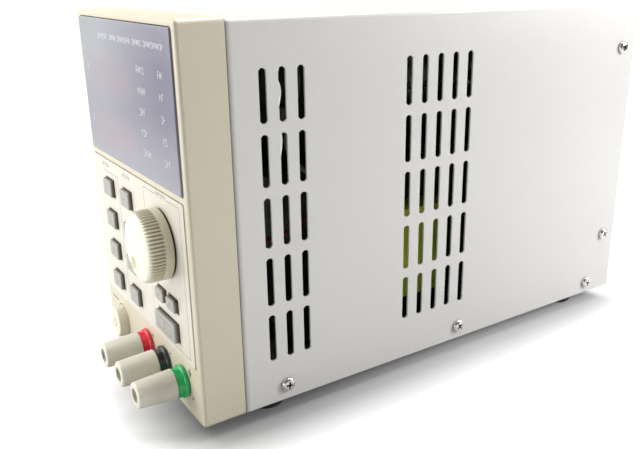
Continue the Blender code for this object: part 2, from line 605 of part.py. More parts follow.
def make_display():
    """Display board with its key switches, indicators and encoder, and the two digit modules in front."""
    back = BOARD_Y + BOARD_T
    board = cuboids("display_board", [((-0.0495, BOARD_Y, 0.0270), (0.0495, back, 0.1475))], "board_green")
    sunk = BOARD_Y + 0.0004
    switch_front = KEY_STEM_BACK + 0.0007  # the keys' stems stop this far short of the switches
    switches = cuboids("key_switches", [
        block(x, z, (0.006, 0.005), switch_front, sunk) for _, x, z, _, _ in key_layout()
    ])
    indicators = cuboids("indicators", [
        block(x, z, (0.007, 0.0044), 0.0045, sunk)
        for x in INDICATOR_COLUMNS_X for z in (INDICATOR_LOW_Z + INDICATOR_PITCH * i for i in range(5))
    ])
    ex, ez = KNOB_AT
    encoder = cuboids("encoder_block", [block(ex, ez, (0.012, 0.012), 0.0032, sunk)])
    bushing = cylinder("encoder_bushing", PANEL_HOLE_R - 0.0004, 0.0045, (ex, 0.00185, ez))
    bore = cylinder("encoder_bore", SHAFT_R + FIT, 0.0200, (ex, -0.0020, ez), steps=20)
    join(board, switches, indicators, encoder, bushing)
    cut(board, bore)
    for name, z in (("digit_display_upper", 0.1260), ("digit_display_lower", 0.1030)):
        size, at = (0.0560, 0.0052, 0.0190), (-0.0160, 0.0056, z)
        rounded_box(name, size, at, "display_red", corner=0.0005, steps=1)


def make_transformer():
    """E-I core with its stack across the case, and the taped coil round its middle leg."""
    x0, x1 = CORE_X
    y0, y1 = CORE_Y
    z0, z1 = CORE_Z
    core = cuboids("transformer_core", [((x0, y0, z0), (x1, y1, z1))], "core_steel")
    windows_y = ((y0 + CORE_LEG, y0 + 2 * CORE_LEG), (y1 - 2 * CORE_LEG, y1 - CORE_LEG))
    wz0, wz1 = z0 + CORE_LEG, z1 - CORE_LEG
    windows = cuboids("core_windows", [((x0 - 0.01, a, wz0), (x1 + 0.01, b, wz1)) for a, b in windows_y])
    bracket = ((x0 - 0.006, y0 + 0.006, 0.0026), (x1 + 0.006, y1 - 0.006, z0 + 0.0005))
    plinth = cuboids("core_plinth", [bracket])
    join(cut(core, windows), plinth)
    gap = FIT
    coil_y0, coil_y1 = windows_y[0][0] + gap, windows_y[1][1] - gap
    length, width = x1 - x0 + 2 * COIL_OVERHANG, coil_y1 - coil_y0
    bm = bmesh.new()
    add_cuboid(bm, (-length / 2, -width / 2, wz0 + gap), (length / 2, width / 2, wz1 - gap))
    upright = [e for e in bm.edges if abs(e.verts[0].co.z - e.verts[1].co.z) > 0.01]
    bmesh.ops.bevel(bm, geom=upright, offset=0.006, segments=4, affect="EDGES", profile=0.5)
    coil = add("transformer_coil", bm, ((x0 + x1) / 2, (y0 + y1) / 2, 0), finish="coil_tape")
    leg = cuboids("leg_hole", [
        ((x0 - gap, windows_y[0][1] - gap, 0), (x1 + gap, windows_y[1][0] + gap, z1 + 0.01))
    ])
    cut(coil, leg)


def make_power_stage():
    """Main board with its capacitors, relays and standoffs, and the finned heatsink that stands on it."""
    board_low, top = MAIN_BOARD_Z
    sunk = top - 0.0003  # components start this far inside the board, to join it
    board = cuboids("main_board", [((-0.048, 0.1500, board_low), (0.048, 0.2210, top))], "board_green")
    fillers = [
        cylinder(f"capacitor_{i + 1}", radius, high, (x, y, sunk + high / 2), turn=(0, 0, 0), steps=16)
        for i, (x, y, radius, high) in enumerate((
            (0.016, 0.164, 0.009, 0.032), (0.038, 0.164, 0.009, 0.032), (0.016, 0.186, 0.009, 0.032),
            (-0.006, 0.160, 0.005, 0.016), (-0.006, 0.174, 0.005, 0.016),
        ))
    ]
    relays = [((0.028, y, sunk), (0.046, y + 0.0105, top + 0.0155)) for y in (0.180, 0.195)]
    rectifier = ((-0.012, 0.186, sunk), (0.002, 0.204, top + 0.010))
    fillers.append(cuboids("relays_and_rectifier", relays + [rectifier]))
    fillers.append(cuboids("standoffs", [
        ((x - 0.003, y - 0.003, 0.0025), (x + 0.003, y + 0.003, board_low + 0.0003))
        for x in (-0.043, 0.043) for y in (0.155, 0.216)
    ]))
    join(board, *fillers)

    heatsink = cuboids("heatsink", [((-0.0470, 0.1520, 0.0102), (-0.0200, 0.2050, 0.1050))], "aluminium")
    channels = cuboids("heatsink_channels", [
        ((-0.0430, y, 0.0050), (-0.0100, y + 0.0050, 0.1200)) for y in (0.1540 + 0.0073 * i for i in range(7))
    ])
    cut(heatsink, channels)


def make_fan():
    fx, fz = FAN_AT
    middle_y = FAN_Y + FAN_DEPTH / 2
    frame = rounded_box("fan_frame", (FAN_SIZE, FAN_DEPTH, FAN_SIZE), (fx, middle_y, fz), "black_plastic",
                        corner=0.004)
    duct = cylinder("fan_duct", FAN_BORE_R, 2 * FAN_DEPTH, (fx, middle_y, fz), steps=32)
    back = FAN_Y + FAN_DEPTH
    corner, flange = FAN_SIZE / 2 + 0.0065, 0.004  # the frame's corners are cut away between two flanges
    waist = cuboids("fan_waist", [
        block(fx + a * corner, fz + b * corner, (0.016, 0.016), FAN_Y + flange, back - flange)
        for a in (-1, 1) for b in (-1, 1)
    ])
    strut, reach = 0.003, 2 * FAN_STRUT_REACH
    struts = cuboids("fan_struts", [
        block(fx, fz, (reach, strut), back - strut, back - 0.0003),
        block(fx, fz, (strut, reach), back - strut + 0.0003, back - 0.0006),
    ])
    mount = cylinder("motor_mount", FAN_HUB_R, 0.0034, (fx, back - 0.0020, fz))
    cut(frame, duct, waist)
    join(frame, mount)
    boolean(frame, struts, "UNION").modifiers[-1].use_self = True

    hub = [(0, 0.0185), (FAN_HUB_R - 0.001, 0.0185), (FAN_HUB_R, 0.0175), (FAN_HUB_R, 0), (0, 0)]
    rotor = turned("fan_rotor", hub, (fx, back - 0.0042, fz), OUTWARD, "black_plastic")
    bm = bmesh.new()
    for i in range(FAN_BLADES):
        blade = add_cuboid(bm, (FAN_HUB_R - 0.002, -0.0075, -0.0006), (FAN_BORE_R - 0.001, 0.0075, 0.0006))
        bmesh.ops.rotate(bm, verts=blade, matrix=Matrix.Rotation(math.radians(38), 3, "X"))
        bmesh.ops.rotate(bm, verts=blade, matrix=Matrix.Rotation(2 * math.pi * i / FAN_BLADES, 3, "Z"))
    blades = add("fan_blades", bm, (fx, back - 0.0132, fz), OUTWARD)
    join(rotor, blades)


clear_scene()
PARTS = bpy.data.collections.new("bench_power_supply")
CUTTERS = bpy.data.collections.new("cutters")
for collection in (PARTS, CUTTERS):
    bpy.context.scene.collection.children.link(collection)
CASE_FRAME = bpy.data.objects.new("case_frame", None)
CASE_FRAME.location = (0, (POST_REACH - CASE_D) / 2, FOOT_H)
PARTS.objects.link(CASE_FRAME)

make_bezel()
make_keys()
make_knob()
make_power_button()
make_posts()
make_cover()
make_screws()
make_chassis()
make_inlet()
make_voltage_selector()
make_display()
make_transformer()
make_power_stage()
make_fan()
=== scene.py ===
"""Looks for the bench power supply.

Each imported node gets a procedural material, and finer pieces stand for the nodes that the eye
meets: knob, keys, power button, binding posts, screws, feet and coil.
"""

import json
import math

import bmesh
import bpy
from mathutils import Matrix, Vector


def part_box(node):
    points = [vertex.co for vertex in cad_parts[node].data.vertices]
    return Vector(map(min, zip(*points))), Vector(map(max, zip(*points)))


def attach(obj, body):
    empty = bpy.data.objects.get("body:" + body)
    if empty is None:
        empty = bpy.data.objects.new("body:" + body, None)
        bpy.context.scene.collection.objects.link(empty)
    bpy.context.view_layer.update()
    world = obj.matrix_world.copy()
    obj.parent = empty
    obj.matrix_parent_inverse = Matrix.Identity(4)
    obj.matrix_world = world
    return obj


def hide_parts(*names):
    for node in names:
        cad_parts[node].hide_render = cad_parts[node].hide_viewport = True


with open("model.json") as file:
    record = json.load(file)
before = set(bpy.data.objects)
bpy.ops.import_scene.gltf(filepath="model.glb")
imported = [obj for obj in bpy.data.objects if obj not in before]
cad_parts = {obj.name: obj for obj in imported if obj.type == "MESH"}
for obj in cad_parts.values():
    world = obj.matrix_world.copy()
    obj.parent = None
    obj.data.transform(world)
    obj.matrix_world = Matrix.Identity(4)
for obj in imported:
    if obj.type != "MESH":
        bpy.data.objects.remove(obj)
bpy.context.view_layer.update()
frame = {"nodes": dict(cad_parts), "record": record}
NODES = frame["nodes"]
SLOT_OF = {part["node"]: part["material_slot"] for part in frame["record"]["subparts"]}
BODY_OF = {
    node: body
    for body, nodes in frame["record"]["behaviour"]["bodies"].items()
    for node in nodes
}

DIGIT_MODULES = ("digit_display_upper", "digit_display_lower")

FRONT, REAR = Vector((0, -1, 0)), Vector((0, 1, 0))
RIGHT, LEFT = Vector((1, 0, 0)), Vector((-1, 0, 0))
UP, DOWN = Vector((0, 0, 1)), Vector((0, 0, -1))
MM = 0.001
WINDOW_STANDS_OUT = 0.8 * MM
BEZEL_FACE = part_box("display_window")[0].y + WINDOW_STANDS_OUT  # the bezel's front face
PRINT_GAP = 0.005 * MM  # prints float this far in front of their face
WELD_DISTANCE = 0.002 * MM
SHARP_ANGLE = math.radians(40)  # an edge that turns further than this stays sharp
TINY = 1e-7
# The colour sockets of Blender's Mix node.
MIX_FIRST, MIX_SECOND, MIX_RESULT = 6, 7, 2


# ---------------------------------------------------------------- materials

class Look:
    """A material under construction: a Principled BSDF fed by nodes in object coordinates."""

    def __init__(self, name, colour, roughness, metallic=0.0, **inputs):
        self.material = bpy.data.materials.new(name)
        self.material.use_nodes = True
        self.tree = self.material.node_tree
        self.shader = self.tree.nodes["Principled BSDF"]
        self.place = self.node("ShaderNodeTexCoord").outputs["Object"]
        self.roughness = roughness
        self.colour = self.rgb(colour)
        self.shader.inputs["Metallic"].default_value = metallic
        self.shader.inputs["Roughness"].default_value = roughness
        for key, value in inputs.items():
            self.shader.inputs[key.replace("_", " ")].default_value = value
        self.normal = None
        self.link(self.colour, self.shader.inputs["Base Color"])

    def node(self, kind, **settings):
        made = self.tree.nodes.new(kind)
        for key, value in settings.items():
            setattr(made, key, value)
        return made

    def link(self, output, target):
        self.tree.links.new(output, target)

    def rgb(self, colour):
        made = self.node("ShaderNodeRGB")
        made.outputs[0].default_value = (*colour, 1)
        return made.outputs[0]

    def noise(self, per_mm, detail=3.0, stretch=(1, 1, 1), rough=0.55):
        """Noise whose features are about 1 / per_mm millimetres across."""
        mapping = self.node("ShaderNodeMapping")
        mapping.inputs["Scale"].default_value = [per_mm / MM * s for s in stretch]
        self.link(self.place, mapping.inputs["Vector"])
        made = self.node("ShaderNodeTexNoise")
        made.inputs["Scale"].default_value = 1.0
        made.inputs["Detail"].default_value = detail
        made.inputs["Roughness"].default_value = rough
        self.link(mapping.outputs[0], made.inputs["Vector"])
        return made.outputs["Fac"]

    def between(self, value, low, high, low_out=0.0, high_out=1.0):
        made = self.node("ShaderNodeMapRange")
        made.inputs["From Min"].default_value = low
        made.inputs["From Max"].default_value = high
        made.inputs["To Min"].default_value = low_out
        made.inputs["To Max"].default_value = high_out
        self.link(value, made.inputs["Value"])
        return made.outputs[0]

    def mix(self, factor, first, second, blend="MIX"):
        made = self.node("ShaderNodeMix", data_type="RGBA", blend_type=blend)
        if isinstance(factor, float):
            made.inputs[0].default_value = factor
        else:
            self.link(factor, made.inputs[0])
        self.link(first, made.inputs[MIX_FIRST])
        self.link(second, made.inputs[MIX_SECOND])
        return made.outputs[MIX_RESULT]

    def recolour(self, colour):
        self.colour = colour
        self.link(colour, self.shader.inputs["Base Color"])
        return self

    def show(self, shader):
        """Makes another shader the material's surface."""
        self.link(shader, self.tree.nodes["Material Output"].inputs["Surface"])

    def paint(self, mask, colour):
        """Where mask is 1, colour replaces what is there."""
        return self.recolour(self.mix(mask, self.colour, self.rgb(colour)))

    def mottle(self, per_mm, amount):
        """Slight darker patches about 1 / per_mm millimetres across."""
        mask = self.between(self.noise(per_mm, 4), 0.35, 0.65)
        dark = self.mix(mask, self.rgb((1 - amount,) * 3), self.rgb((1, 1, 1)))
        return self.recolour(self.mix(1.0, self.colour, dark, "MULTIPLY"))

    def along(self, axis, start, end):
        """A mask that runs from 0 at start to 1 at end along an axis of the object, in metres."""
        split = self.node("ShaderNodeSeparateXYZ")
        self.link(self.place, split.inputs[0])
        return self.between(split.outputs[axis], start, end)

    def both(self, first, second):
        """The product of two masks."""
        made = self.node("ShaderNodeMath", operation="MULTIPLY")
        self.link(first, made.inputs[0])
        self.link(second, made.inputs[1])
        return made.outputs[0]

    def patch(self, low, high, soft):
        """A soft-edged mask over a box's front face, in X and Z."""
        mask = None
        for axis, start, end in (("X", low.x, high.x), ("Z", low.z, high.z)):
            for edge, inner in ((start, start + soft), (end, end - soft)):
                side = self.along(axis, edge, inner)
                mask = side if mask is None else self.both(mask, side)
        return mask

    def crevices(self, distance, dark):
        """Multiplies corners and grooves that little light reaches by dark, a colour or socket."""
        made = self.node("ShaderNodeAmbientOcclusion", samples=6)
        made.inputs["Distance"].default_value = distance
        open_share = self.between(made.outputs["AO"], 0.25, 0.85)
        if isinstance(dark, tuple):
            dark = self.rgb(dark)
        tint = self.mix(open_share, dark, self.rgb((1, 1, 1)))
        return self.recolour(self.mix(1.0, self.colour, tint, "MULTIPLY"))

    def uneven_gloss(self, per_mm, amount):
        """Lets the roughness wander by amount either way."""
        low, high = self.roughness - amount, self.roughness + amount
        value = self.between(self.noise(per_mm, 3), 0.3, 0.7, low, high)
        self.link(value, self.shader.inputs["Roughness"])
        return self

    def scatter(self, weight, *radius_mm):
        """Lets light a little way in. The radii are for red, green and blue."""
        self.shader.inputs["Subsurface Weight"].default_value = weight
        self.shader.inputs["Subsurface Radius"].default_value = [r * MM for r in radius_mm]
        return self

    def soft_edges(self, radius=0.25 * MM):
        """Shades edges as if they were rounded."""
        made = self.node("ShaderNodeBevel", samples=4)
        made.inputs["Radius"].default_value = radius
        self.normal = made.outputs[0]
        self.link(self.normal, self.shader.inputs["Normal"])
        return self

    def grain(self, per_mm, height, detail=2.0, stretch=(1, 1, 1)):
        """Bumps height millimetres high and about 1 / per_mm millimetres across."""
        made = self.node("ShaderNodeBump")
        made.inputs["Strength"].default_value = 1.0
        made.inputs["Distance"].default_value = height * MM
        self.link(self.noise(per_mm, detail, stretch), made.inputs["Height"])
        if self.normal is not None:
            self.link(self.normal, made.inputs["Normal"])
        self.normal = made.outputs[0]
        self.link(self.normal, self.shader.inputs["Normal"])
        return self


def ivory_plastic():
    look = Look("ivory_plastic", (0.575, 0.525, 0.41), 0.42, Coat_Weight=0.05)
    look.scatter(0.03, 1.0, 0.8, 0.5).soft_edges().mottle(0.03, 0.03)
    return look.uneven_gloss(0.4, 0.06).grain(6.0, 0.006).material


def knob_ivory():
    """Ivory with painted shade: darker and yellower from the knob's face towards the bezel, and
    darker in its grooves.
    """
    look = Look("knob_ivory", (0.79, 0.755, 0.60), 0.34).scatter(0.03, 1.5, 1.2, 0.7)
    look.paint(look.along("Y", BEZEL_FACE - 9.5 * MM, BEZEL_FACE), (0.58, 0.52, 0.375))
    look.mottle(0.15, 0.03).uneven_gloss(0.5, 0.05).grain(5.0, 0.003)
    return look.crevices(1.3 * MM, (0.34, 0.25, 0.12)).material


def overlay_film():
    look = Look("overlay_film", (0.61, 0.585, 0.515), 0.34)
    look.soft_edges(0.15 * MM).mottle(0.05, 0.02)
    return look.uneven_gloss(0.3, 0.05).grain(8.0, 0.004).material


def key_grey():
    """Grey keys with painted shade: their sides darken towards the panel."""
    look = Look("key_grey", (0.34, 0.34, 0.315), 0.46)
    rim, panel = BEZEL_FACE - 2.15 * MM, BEZEL_FACE - 1.0 * MM
    look.paint(look.along("Y", rim, panel), (0.085, 0.076, 0.056))
    return look.mottle(0.3, 0.06).uneven_gloss(0.8, 0.06).grain(7.0, 0.005).material


def cap_beige():
    look = Look("cap_beige", (0.70, 0.675, 0.575), 0.38).scatter(0.04, 1.0, 0.8, 0.5)
    look.mottle(0.2, 0.04).uneven_gloss(0.6, 0.06).grain(4.0, 0.004)
    # Painted shade: darker in the hollows and corners that little light reaches.
    return look.crevices(3.5 * MM, (0.22, 0.20, 0.17)).material


def gloss(name, colour):
    look = Look(name, colour, 0.16, Coat_Weight=0.35)
    return look.mottle(0.4, 0.05).uneven_gloss(0.7, 0.05).grain(1.2, 0.004).material


def cover_paint():
    """Pale grey paint, with painted shade along the seam at its front edge."""
    look = Look("cover_paint", (0.60, 0.59, 0.57), 0.40, Coat_Weight=0.12)
    look.soft_edges(0.3 * MM).mottle(0.012, 0.02).mottle(1.5, 0.03).uneven_gloss(0.2, 0.05)
    front_edge, seam_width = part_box("top_cover")[0].y, 2.6 * MM
    near = look.along("Y", front_edge + seam_width, front_edge)
    look.paint(look.both(near, near), (0.168, 0.160, 0.145))
    return look.grain(2.2, 0.010, detail=3).material


def zinc_steel():
    look = Look("zinc_steel", (0.62, 0.63, 0.64), 0.36, 1.0)
    look.soft_edges(0.2 * MM).mottle(0.08, 0.16).uneven_gloss(0.12, 0.10)
    return look.grain(3, 0.004, stretch=(1, 0.1, 1)).material


def nickel():
    look = Look("nickel", (0.80, 0.78, 0.745), 0.17, 1.0)
    look.mottle(1.0, 0.06).uneven_gloss(1.5, 0.05).grain(4, 0.002)
    # Painted shade: darker in the cross recesses and other hollows that little light reaches.
    return look.crevices(1.4 * MM, (0.12, 0.10, 0.09)).material


def rubber():
    look = Look("rubber", (0.028, 0.028, 0.03), 0.75)
    return look.mottle(0.4, 0.25).uneven_gloss(0.6, 0.1).grain(5, 0.02).material


def black_plastic():
    look = Look("black_plastic", (0.022, 0.022, 0.024), 0.42)
    look.soft_edges(0.2 * MM).mottle(0.3, 0.2)
    return look.uneven_gloss(0.6, 0.08).grain(5, 0.008).material


def board_green():
    """Green solder mask with faint tracks under it."""
    look = Look("board_green", (0.02, 0.16, 0.06), 0.28, Coat_Weight=0.4)
    tracks = look.node("ShaderNodeTexBrick", offset=0.5)
    tracks.inputs["Scale"].default_value = 1.0
    for key, value in (("Brick Width", 0.009), ("Row Height", 0.0022), ("Mortar Size", 0.0003)):
        tracks.inputs[key].default_value = value
    look.link(look.place, tracks.inputs["Vector"])
    look.paint(tracks.outputs["Fac"], (0.05, 0.26, 0.10))
    return look.mottle(0.1, 0.15).grain(2, 0.005).material


def core_steel():
    """Varnished laminations stacked across the case."""
    look = Look("core_steel", (0.045, 0.04, 0.04), 0.38, 0.3, Coat_Weight=0.3)
    wave = look.node("ShaderNodeTexWave", wave_type="BANDS", bands_direction="X")
    wave_scale = 200  # a band about every 1.6 mm
    wave.inputs["Scale"].default_value = wave_scale
    look.link(look.place, wave.inputs["Vector"])
    look.paint(look.between(wave.outputs["Fac"], 0.75, 0.95), (0.012, 0.010, 0.010))
    return look.mottle(0.15, 0.35).uneven_gloss(0.3, 0.15).grain(0.8, 0.05).material


def coil_tape():
    """Yellow-green polyester tape in overlapping turns."""
    look = Look("coil_tape", (0.46, 0.55, 0.02), 0.42)
    look.shader.inputs["Specular IOR Level"].default_value = 0.3
    look.mottle(0.06, 0.30).uneven_gloss(0.15, 0.1)
    return look.grain(0.25, 0.12, stretch=(0.4, 0.4, 3)).material


def aluminium():
    look = Look("aluminium", (0.72, 0.73, 0.74), 0.34, 1.0)
    return look.soft_edges(0.2 * MM).mottle(0.2, 0.1).grain(4, 0.006, stretch=(1, 1, 0.05)).material


def window_smoke():
    """Smoked window: painted reflection lightens it towards its upper left, and it shows a little
    of the inside.
    """
    opacity = 0.82
    look = Look("window_smoke", (0.235, 0.23, 0.30), 0.22)
    look.shader.inputs["Specular IOR Level"].default_value = 0.3
    low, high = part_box("display_window")
    left = look.along("X", high.x - 12 * MM, low.x + 25 * MM)
    upper = look.between(look.along("Z", low.z + 4 * MM, high.z - 14 * MM), 0, 1, 0.30, 1.0)
    # Painted reflection: lighter along the top, along the bottom and towards the upper left.
    look.paint(look.along("Z", high.z - 14 * MM, high.z + 2 * MM), (0.34, 0.335, 0.41))
    look.paint(look.along("Z", low.z + 26 * MM, low.z - 4 * MM), (0.36, 0.36, 0.41))
    look.paint(look.both(left, upper), (0.45, 0.465, 0.50))
    for node in DIGIT_MODULES:
        module_low, module_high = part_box(node)
        shown = look.patch(module_low, module_high, 5 * MM)
        look.paint(look.between(shown, 0, 1, 0, 0.22), (0.50, 0.34, 0.37))
    look.mottle(0.02, 0.03)
    clear = look.node("ShaderNodeBsdfTransparent")
    clear.inputs[0].default_value = (0.42, 0.42, 0.48, 1)
    mix = look.node("ShaderNodeMixShader")
    mix.inputs[0].default_value = opacity
    look.link(clear.outputs[0], mix.inputs[1])
    look.link(look.shader.outputs[0], mix.inputs[2])
    look.show(mix.outputs[0])
    return look.material


def display_red():
    look = Look("display_red", (0.10, 0.075, 0.085), 0.35)
    return look.soft_edges().mottle(0.2, 0.15).grain(4, 0.004).material


def ink(name, colour, roughness):
    look = Look(name, colour, roughness)
    return look.mottle(1.5, 0.10).grain(6, 0.002).material


FINISHES = (
    ivory_plastic, overlay_film, knob_ivory, key_grey, window_smoke, cover_paint, zinc_steel,
    nickel, rubber, cap_beige, board_green, black_plastic, display_red, core_steel, coil_tape,
    aluminium,
)
GLOSSES = {
    "red_gloss": (0.78, 0.020, 0.045),
    "black_gloss": (0.02, 0.022, 0.026),
    "green_gloss": (0.012, 0.46, 0.125),
}
INKS = {  # plain thin finishes: colour and roughness
    "grey_ink": ((0.16, 0.155, 0.14), 0.5),
    "dark_ink": ((0.12, 0.12, 0.12), 0.5),
    "pale_ink": ((0.47, 0.47, 0.51), 0.5),
    "segment_pink": ((0.62, 0.47, 0.47), 0.3),
    "wire_red": ((0.16, 0.008, 0.012), 0.45),
    "wire_white": ((0.93, 0.93, 0.92), 0.3),
    "wire_grey": ((0.30, 0.31, 0.33), 0.35),
    "button_ivory": ((0.74, 0.70, 0.58), 0.36),
    # painted shade: the dark behind the knob and in the gaps round the keys
    "gap_shade_brown": ((0.045, 0.032, 0.018), 0.8),
}
LOOKS = {finish.__name__: finish() for finish in FINISHES}
LOOKS |= {name: gloss(name, colour) for name, colour in GLOSSES.items()}
LOOKS |= {name: ink(name, colour, roughness) for name, (colour, roughness) in INKS.items()}


# ---------------------------------------------------------------- mesh helpers

def in_mm(*points):
    """An outline's points, turned from millimetres to metres."""
    return [tuple(value * MM for value in point) for point in points]


def finish_shape():
    """Node group that welds split vertices and shades a mesh smooth except at sharp edges."""
    group = bpy.data.node_groups.new("weld_and_smooth", "GeometryNodeTree")
    group.interface.new_socket("Geometry", in_out="INPUT", socket_type="NodeSocketGeometry")
    group.interface.new_socket("Geometry", in_out="OUTPUT", socket_type="NodeSocketGeometry")
    nodes, links = group.nodes, group.links
    start, end = nodes.new("NodeGroupInput"), nodes.new("NodeGroupOutput")
    weld = nodes.new("GeometryNodeMergeByDistance")
    weld.inputs["Distance"].default_value = WELD_DISTANCE
    angle = nodes.new("GeometryNodeInputMeshEdgeAngle")
    sharp = nodes.new("FunctionNodeCompare")
    sharp.data_type, sharp.operation = "FLOAT", "LESS_THAN"
    sharp.inputs[1].default_value = SHARP_ANGLE
    faces, edges = nodes.new("GeometryNodeSetShadeSmooth"), nodes.new("GeometryNodeSetShadeSmooth")
    faces.domain, edges.domain = "FACE", "EDGE"
    links.new(start.outputs[0], weld.inputs["Geometry"])
    links.new(weld.outputs[0], faces.inputs["Geometry"])
    links.new(faces.outputs[0], edges.inputs["Geometry"])
    links.new(angle.outputs["Unsigned Angle"], sharp.inputs[0])
    links.new(sharp.outputs[0], edges.inputs["Shade Smooth"])
    links.new(edges.outputs[0], end.inputs[0])
    return group


SMOOTH = finish_shape()


def shade(obj):
    obj.modifiers.new("weld_and_smooth", "NODES").node_group = SMOOTH
    weighted = obj.modifiers.new("even_normals", "WEIGHTED_NORMAL")
    weighted.keep_sharp = True
    weighted.weight = 100


def piece(name, mesh, look, body="case", stands_for=None, smooth=True):
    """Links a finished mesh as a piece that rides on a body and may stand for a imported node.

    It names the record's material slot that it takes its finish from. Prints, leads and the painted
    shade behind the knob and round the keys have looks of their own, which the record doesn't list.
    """
    if isinstance(mesh, bmesh.types.BMesh):
        made = bpy.data.meshes.new(name)
        bmesh.ops.recalc_face_normals(mesh, faces=mesh.faces)
        mesh.to_mesh(made)
        mesh.free()
        mesh = made
    obj = bpy.data.objects.new(name, mesh)
    bpy.context.scene.collection.objects.link(obj)
    obj.data.materials.clear()
    obj.data.materials.append(LOOKS[look])
    if smooth:
        shade(obj)
    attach(obj, body)
    if stands_for:
        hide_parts(stands_for)
    return obj


def arc_corner(before, corner, after, radius, steps=5):
    """Points of the arc that rounds a corner. Its radius is cut down where the sides are short."""
    before, corner, after = Vector(before), Vector(corner), Vector(after)
    a, b = (before - corner), (after - corner)
    half = a.angle(b) / 2
    reach = min(radius / math.tan(half), 0.49 * a.length, 0.49 * b.length)
    radius = reach * math.tan(half)
    a.normalize()
    b.normalize()
    middle = corner + (a + b).normalized() * (radius / math.sin(half))
    start, end = corner + a * reach - middle, corner + b * reach - middle
    turn = start.angle_signed(end)
    points = []
    for i in range(steps + 1):
        angle = -turn * i / steps
        c, s = math.cos(angle), math.sin(angle)
        spoke = Vector((start.x * c - start.y * s, start.x * s + start.y * c))
        points.append(tuple(middle + spoke))
    return points


def rounded(outline, closed=False):
    """An outline of (u, v) or (u, v, radius) points, rounded where a radius is stated."""
    points = []
    count = len(outline)
    for i, point in enumerate(outline):
        if len(point) == 2 or (not closed and i in (0, count - 1)):
            points.append(tuple(point[:2]))
        else:
            before, after = outline[i - 1][:2], outline[(i + 1) % count][:2]
            points += arc_corner(before, point[:2], after, point[2])
    return points


def side_axes(outward):
    """Two directions square to outward, the second as near to up as it can be."""
    up = UP if abs(outward.z) < 0.9 else REAR
    across = up.cross(outward).normalized()
    return across, outward.cross(across).normalized()


def revolve(profile, centre, outward, steps=96, closed=False, reshape=None):
    """A turned bmesh.

    The profile holds (radius, height along outward). A reshape function takes radius, height and
    angle, and returns the radius and height to use there.
    """
    bm = bmesh.new()
    across, up = side_axes(outward)
    rings = []
    for radius, height in profile:
        if radius < TINY:
            rings.append([bm.verts.new(centre + outward * height)])
            continue
        ring = []
        for i in range(steps):
            angle = 2 * math.pi * i / steps
            r, h = reshape(radius, height, angle) if reshape else (radius, height)
            spoke = across * (r * math.cos(angle)) + up * (r * math.sin(angle))
            ring.append(bm.verts.new(centre + outward * h + spoke))
        rings.append(ring)
    pairs = list(zip(rings, rings[1:])) + ([(rings[-1], rings[0])] if closed else [])
    for first, second in pairs:
        for i in range(steps):
            j = (i + 1) % steps
            corners = []  # a point on the axis is its own neighbour, and the face gets it once
            for ring, step in ((first, i), (first, j), (second, j), (second, i)):
                vert = ring[step % len(ring)]
                if vert not in corners:
                    corners.append(vert)
            if len(corners) > 2:
                bm.faces.new(corners)
    return bm


def cuboid(bm, low, high):
    """Adds a box to a bmesh."""
    for vert in bmesh.ops.create_cube(bm, size=1.0)["verts"]:
        for axis in range(3):
            vert.co[axis] = (low[axis] + high[axis]) / 2 + vert.co[axis] * (high[axis] - low[axis])


def round_off(bm, edges, radius, steps):
    bmesh.ops.bevel(
        bm, geom=edges, offset=radius, segments=steps, affect="EDGES", profile=0.5
    )


def soft_box(low, high, corner, rim, axis=1, steps=4):
    """A box whose edges along one axis get radius corner, and whose rim at the low end gets rim."""
    bm = bmesh.new()
    cuboid(bm, low, high)
    length = high[axis] - low[axis]
    if corner:
        long_edges = [
            edge for edge in bm.edges
            if abs(edge.verts[0].co[axis] - edge.verts[1].co[axis]) > length / 2
        ]
        round_off(bm, long_edges, corner, steps)
    if rim:
        rim_edges = [
            edge for edge in bm.edges
            if all(abs(vert.co[axis] - low[axis]) < TINY for vert in edge.verts)
        ]
        round_off(bm, rim_edges, rim, steps)
    return bm


def evaluated_mesh(obj):
    """An object's mesh with its modifiers, or its curve's bevel, applied."""
    bpy.context.view_layer.update()
    return bpy.data.meshes.new_from_object(
        obj.evaluated_get(bpy.context.evaluated_depsgraph_get())
    )


def carve(obj, cutter_mesh):
    """Cuts a mesh out of a piece for good."""
    data = bpy.data.meshes.new("cutter")
    bmesh.ops.recalc_face_normals(cutter_mesh, faces=cutter_mesh.faces)
    cutter_mesh.to_mesh(data)
    cutter_mesh.free()
    cutter = bpy.data.objects.new("cutter", data)
    bpy.context.scene.collection.objects.link(cutter)
    obj.modifiers.clear()
    boolean = obj.modifiers.new("carve", "BOOLEAN")
    boolean.operation, boolean.object, boolean.use_self = "DIFFERENCE", cutter, True
    result = evaluated_mesh(obj)
    obj.modifiers.clear()
    obj.data = result
    bpy.data.objects.remove(cutter)
    shade(obj)


def strokes(name, lines, width, look, body, lift=0.02 * MM):
    """Printed strokes: flattened round lines through points of a face that looks to the front."""
    curve = bpy.data.curves.new(name, "CURVE")
    curve.dimensions = "3D"
    curve.bevel_depth = width / 2
    curve.bevel_resolution = 2
    curve.use_fill_caps = True
    face_y = lines[0][0][1]
    for line in lines:
        spline = curve.splines.new("POLY")
        spline.points.add(len(line) - 1)
        for point, (x, y, z) in zip(spline.points, line):
            point.co = (x, y - face_y, z, 1)
    obj = bpy.data.objects.new(name, curve)
    bpy.context.scene.collection.objects.link(obj)
    mesh = evaluated_mesh(obj)
    bpy.data.objects.remove(obj)
    flatten = Matrix.Scale(2 * lift / width, 4, REAR)
    mesh.transform(Matrix.Translation((0, face_y, 0)) @ flatten)
    piece(name, mesh, look, body)


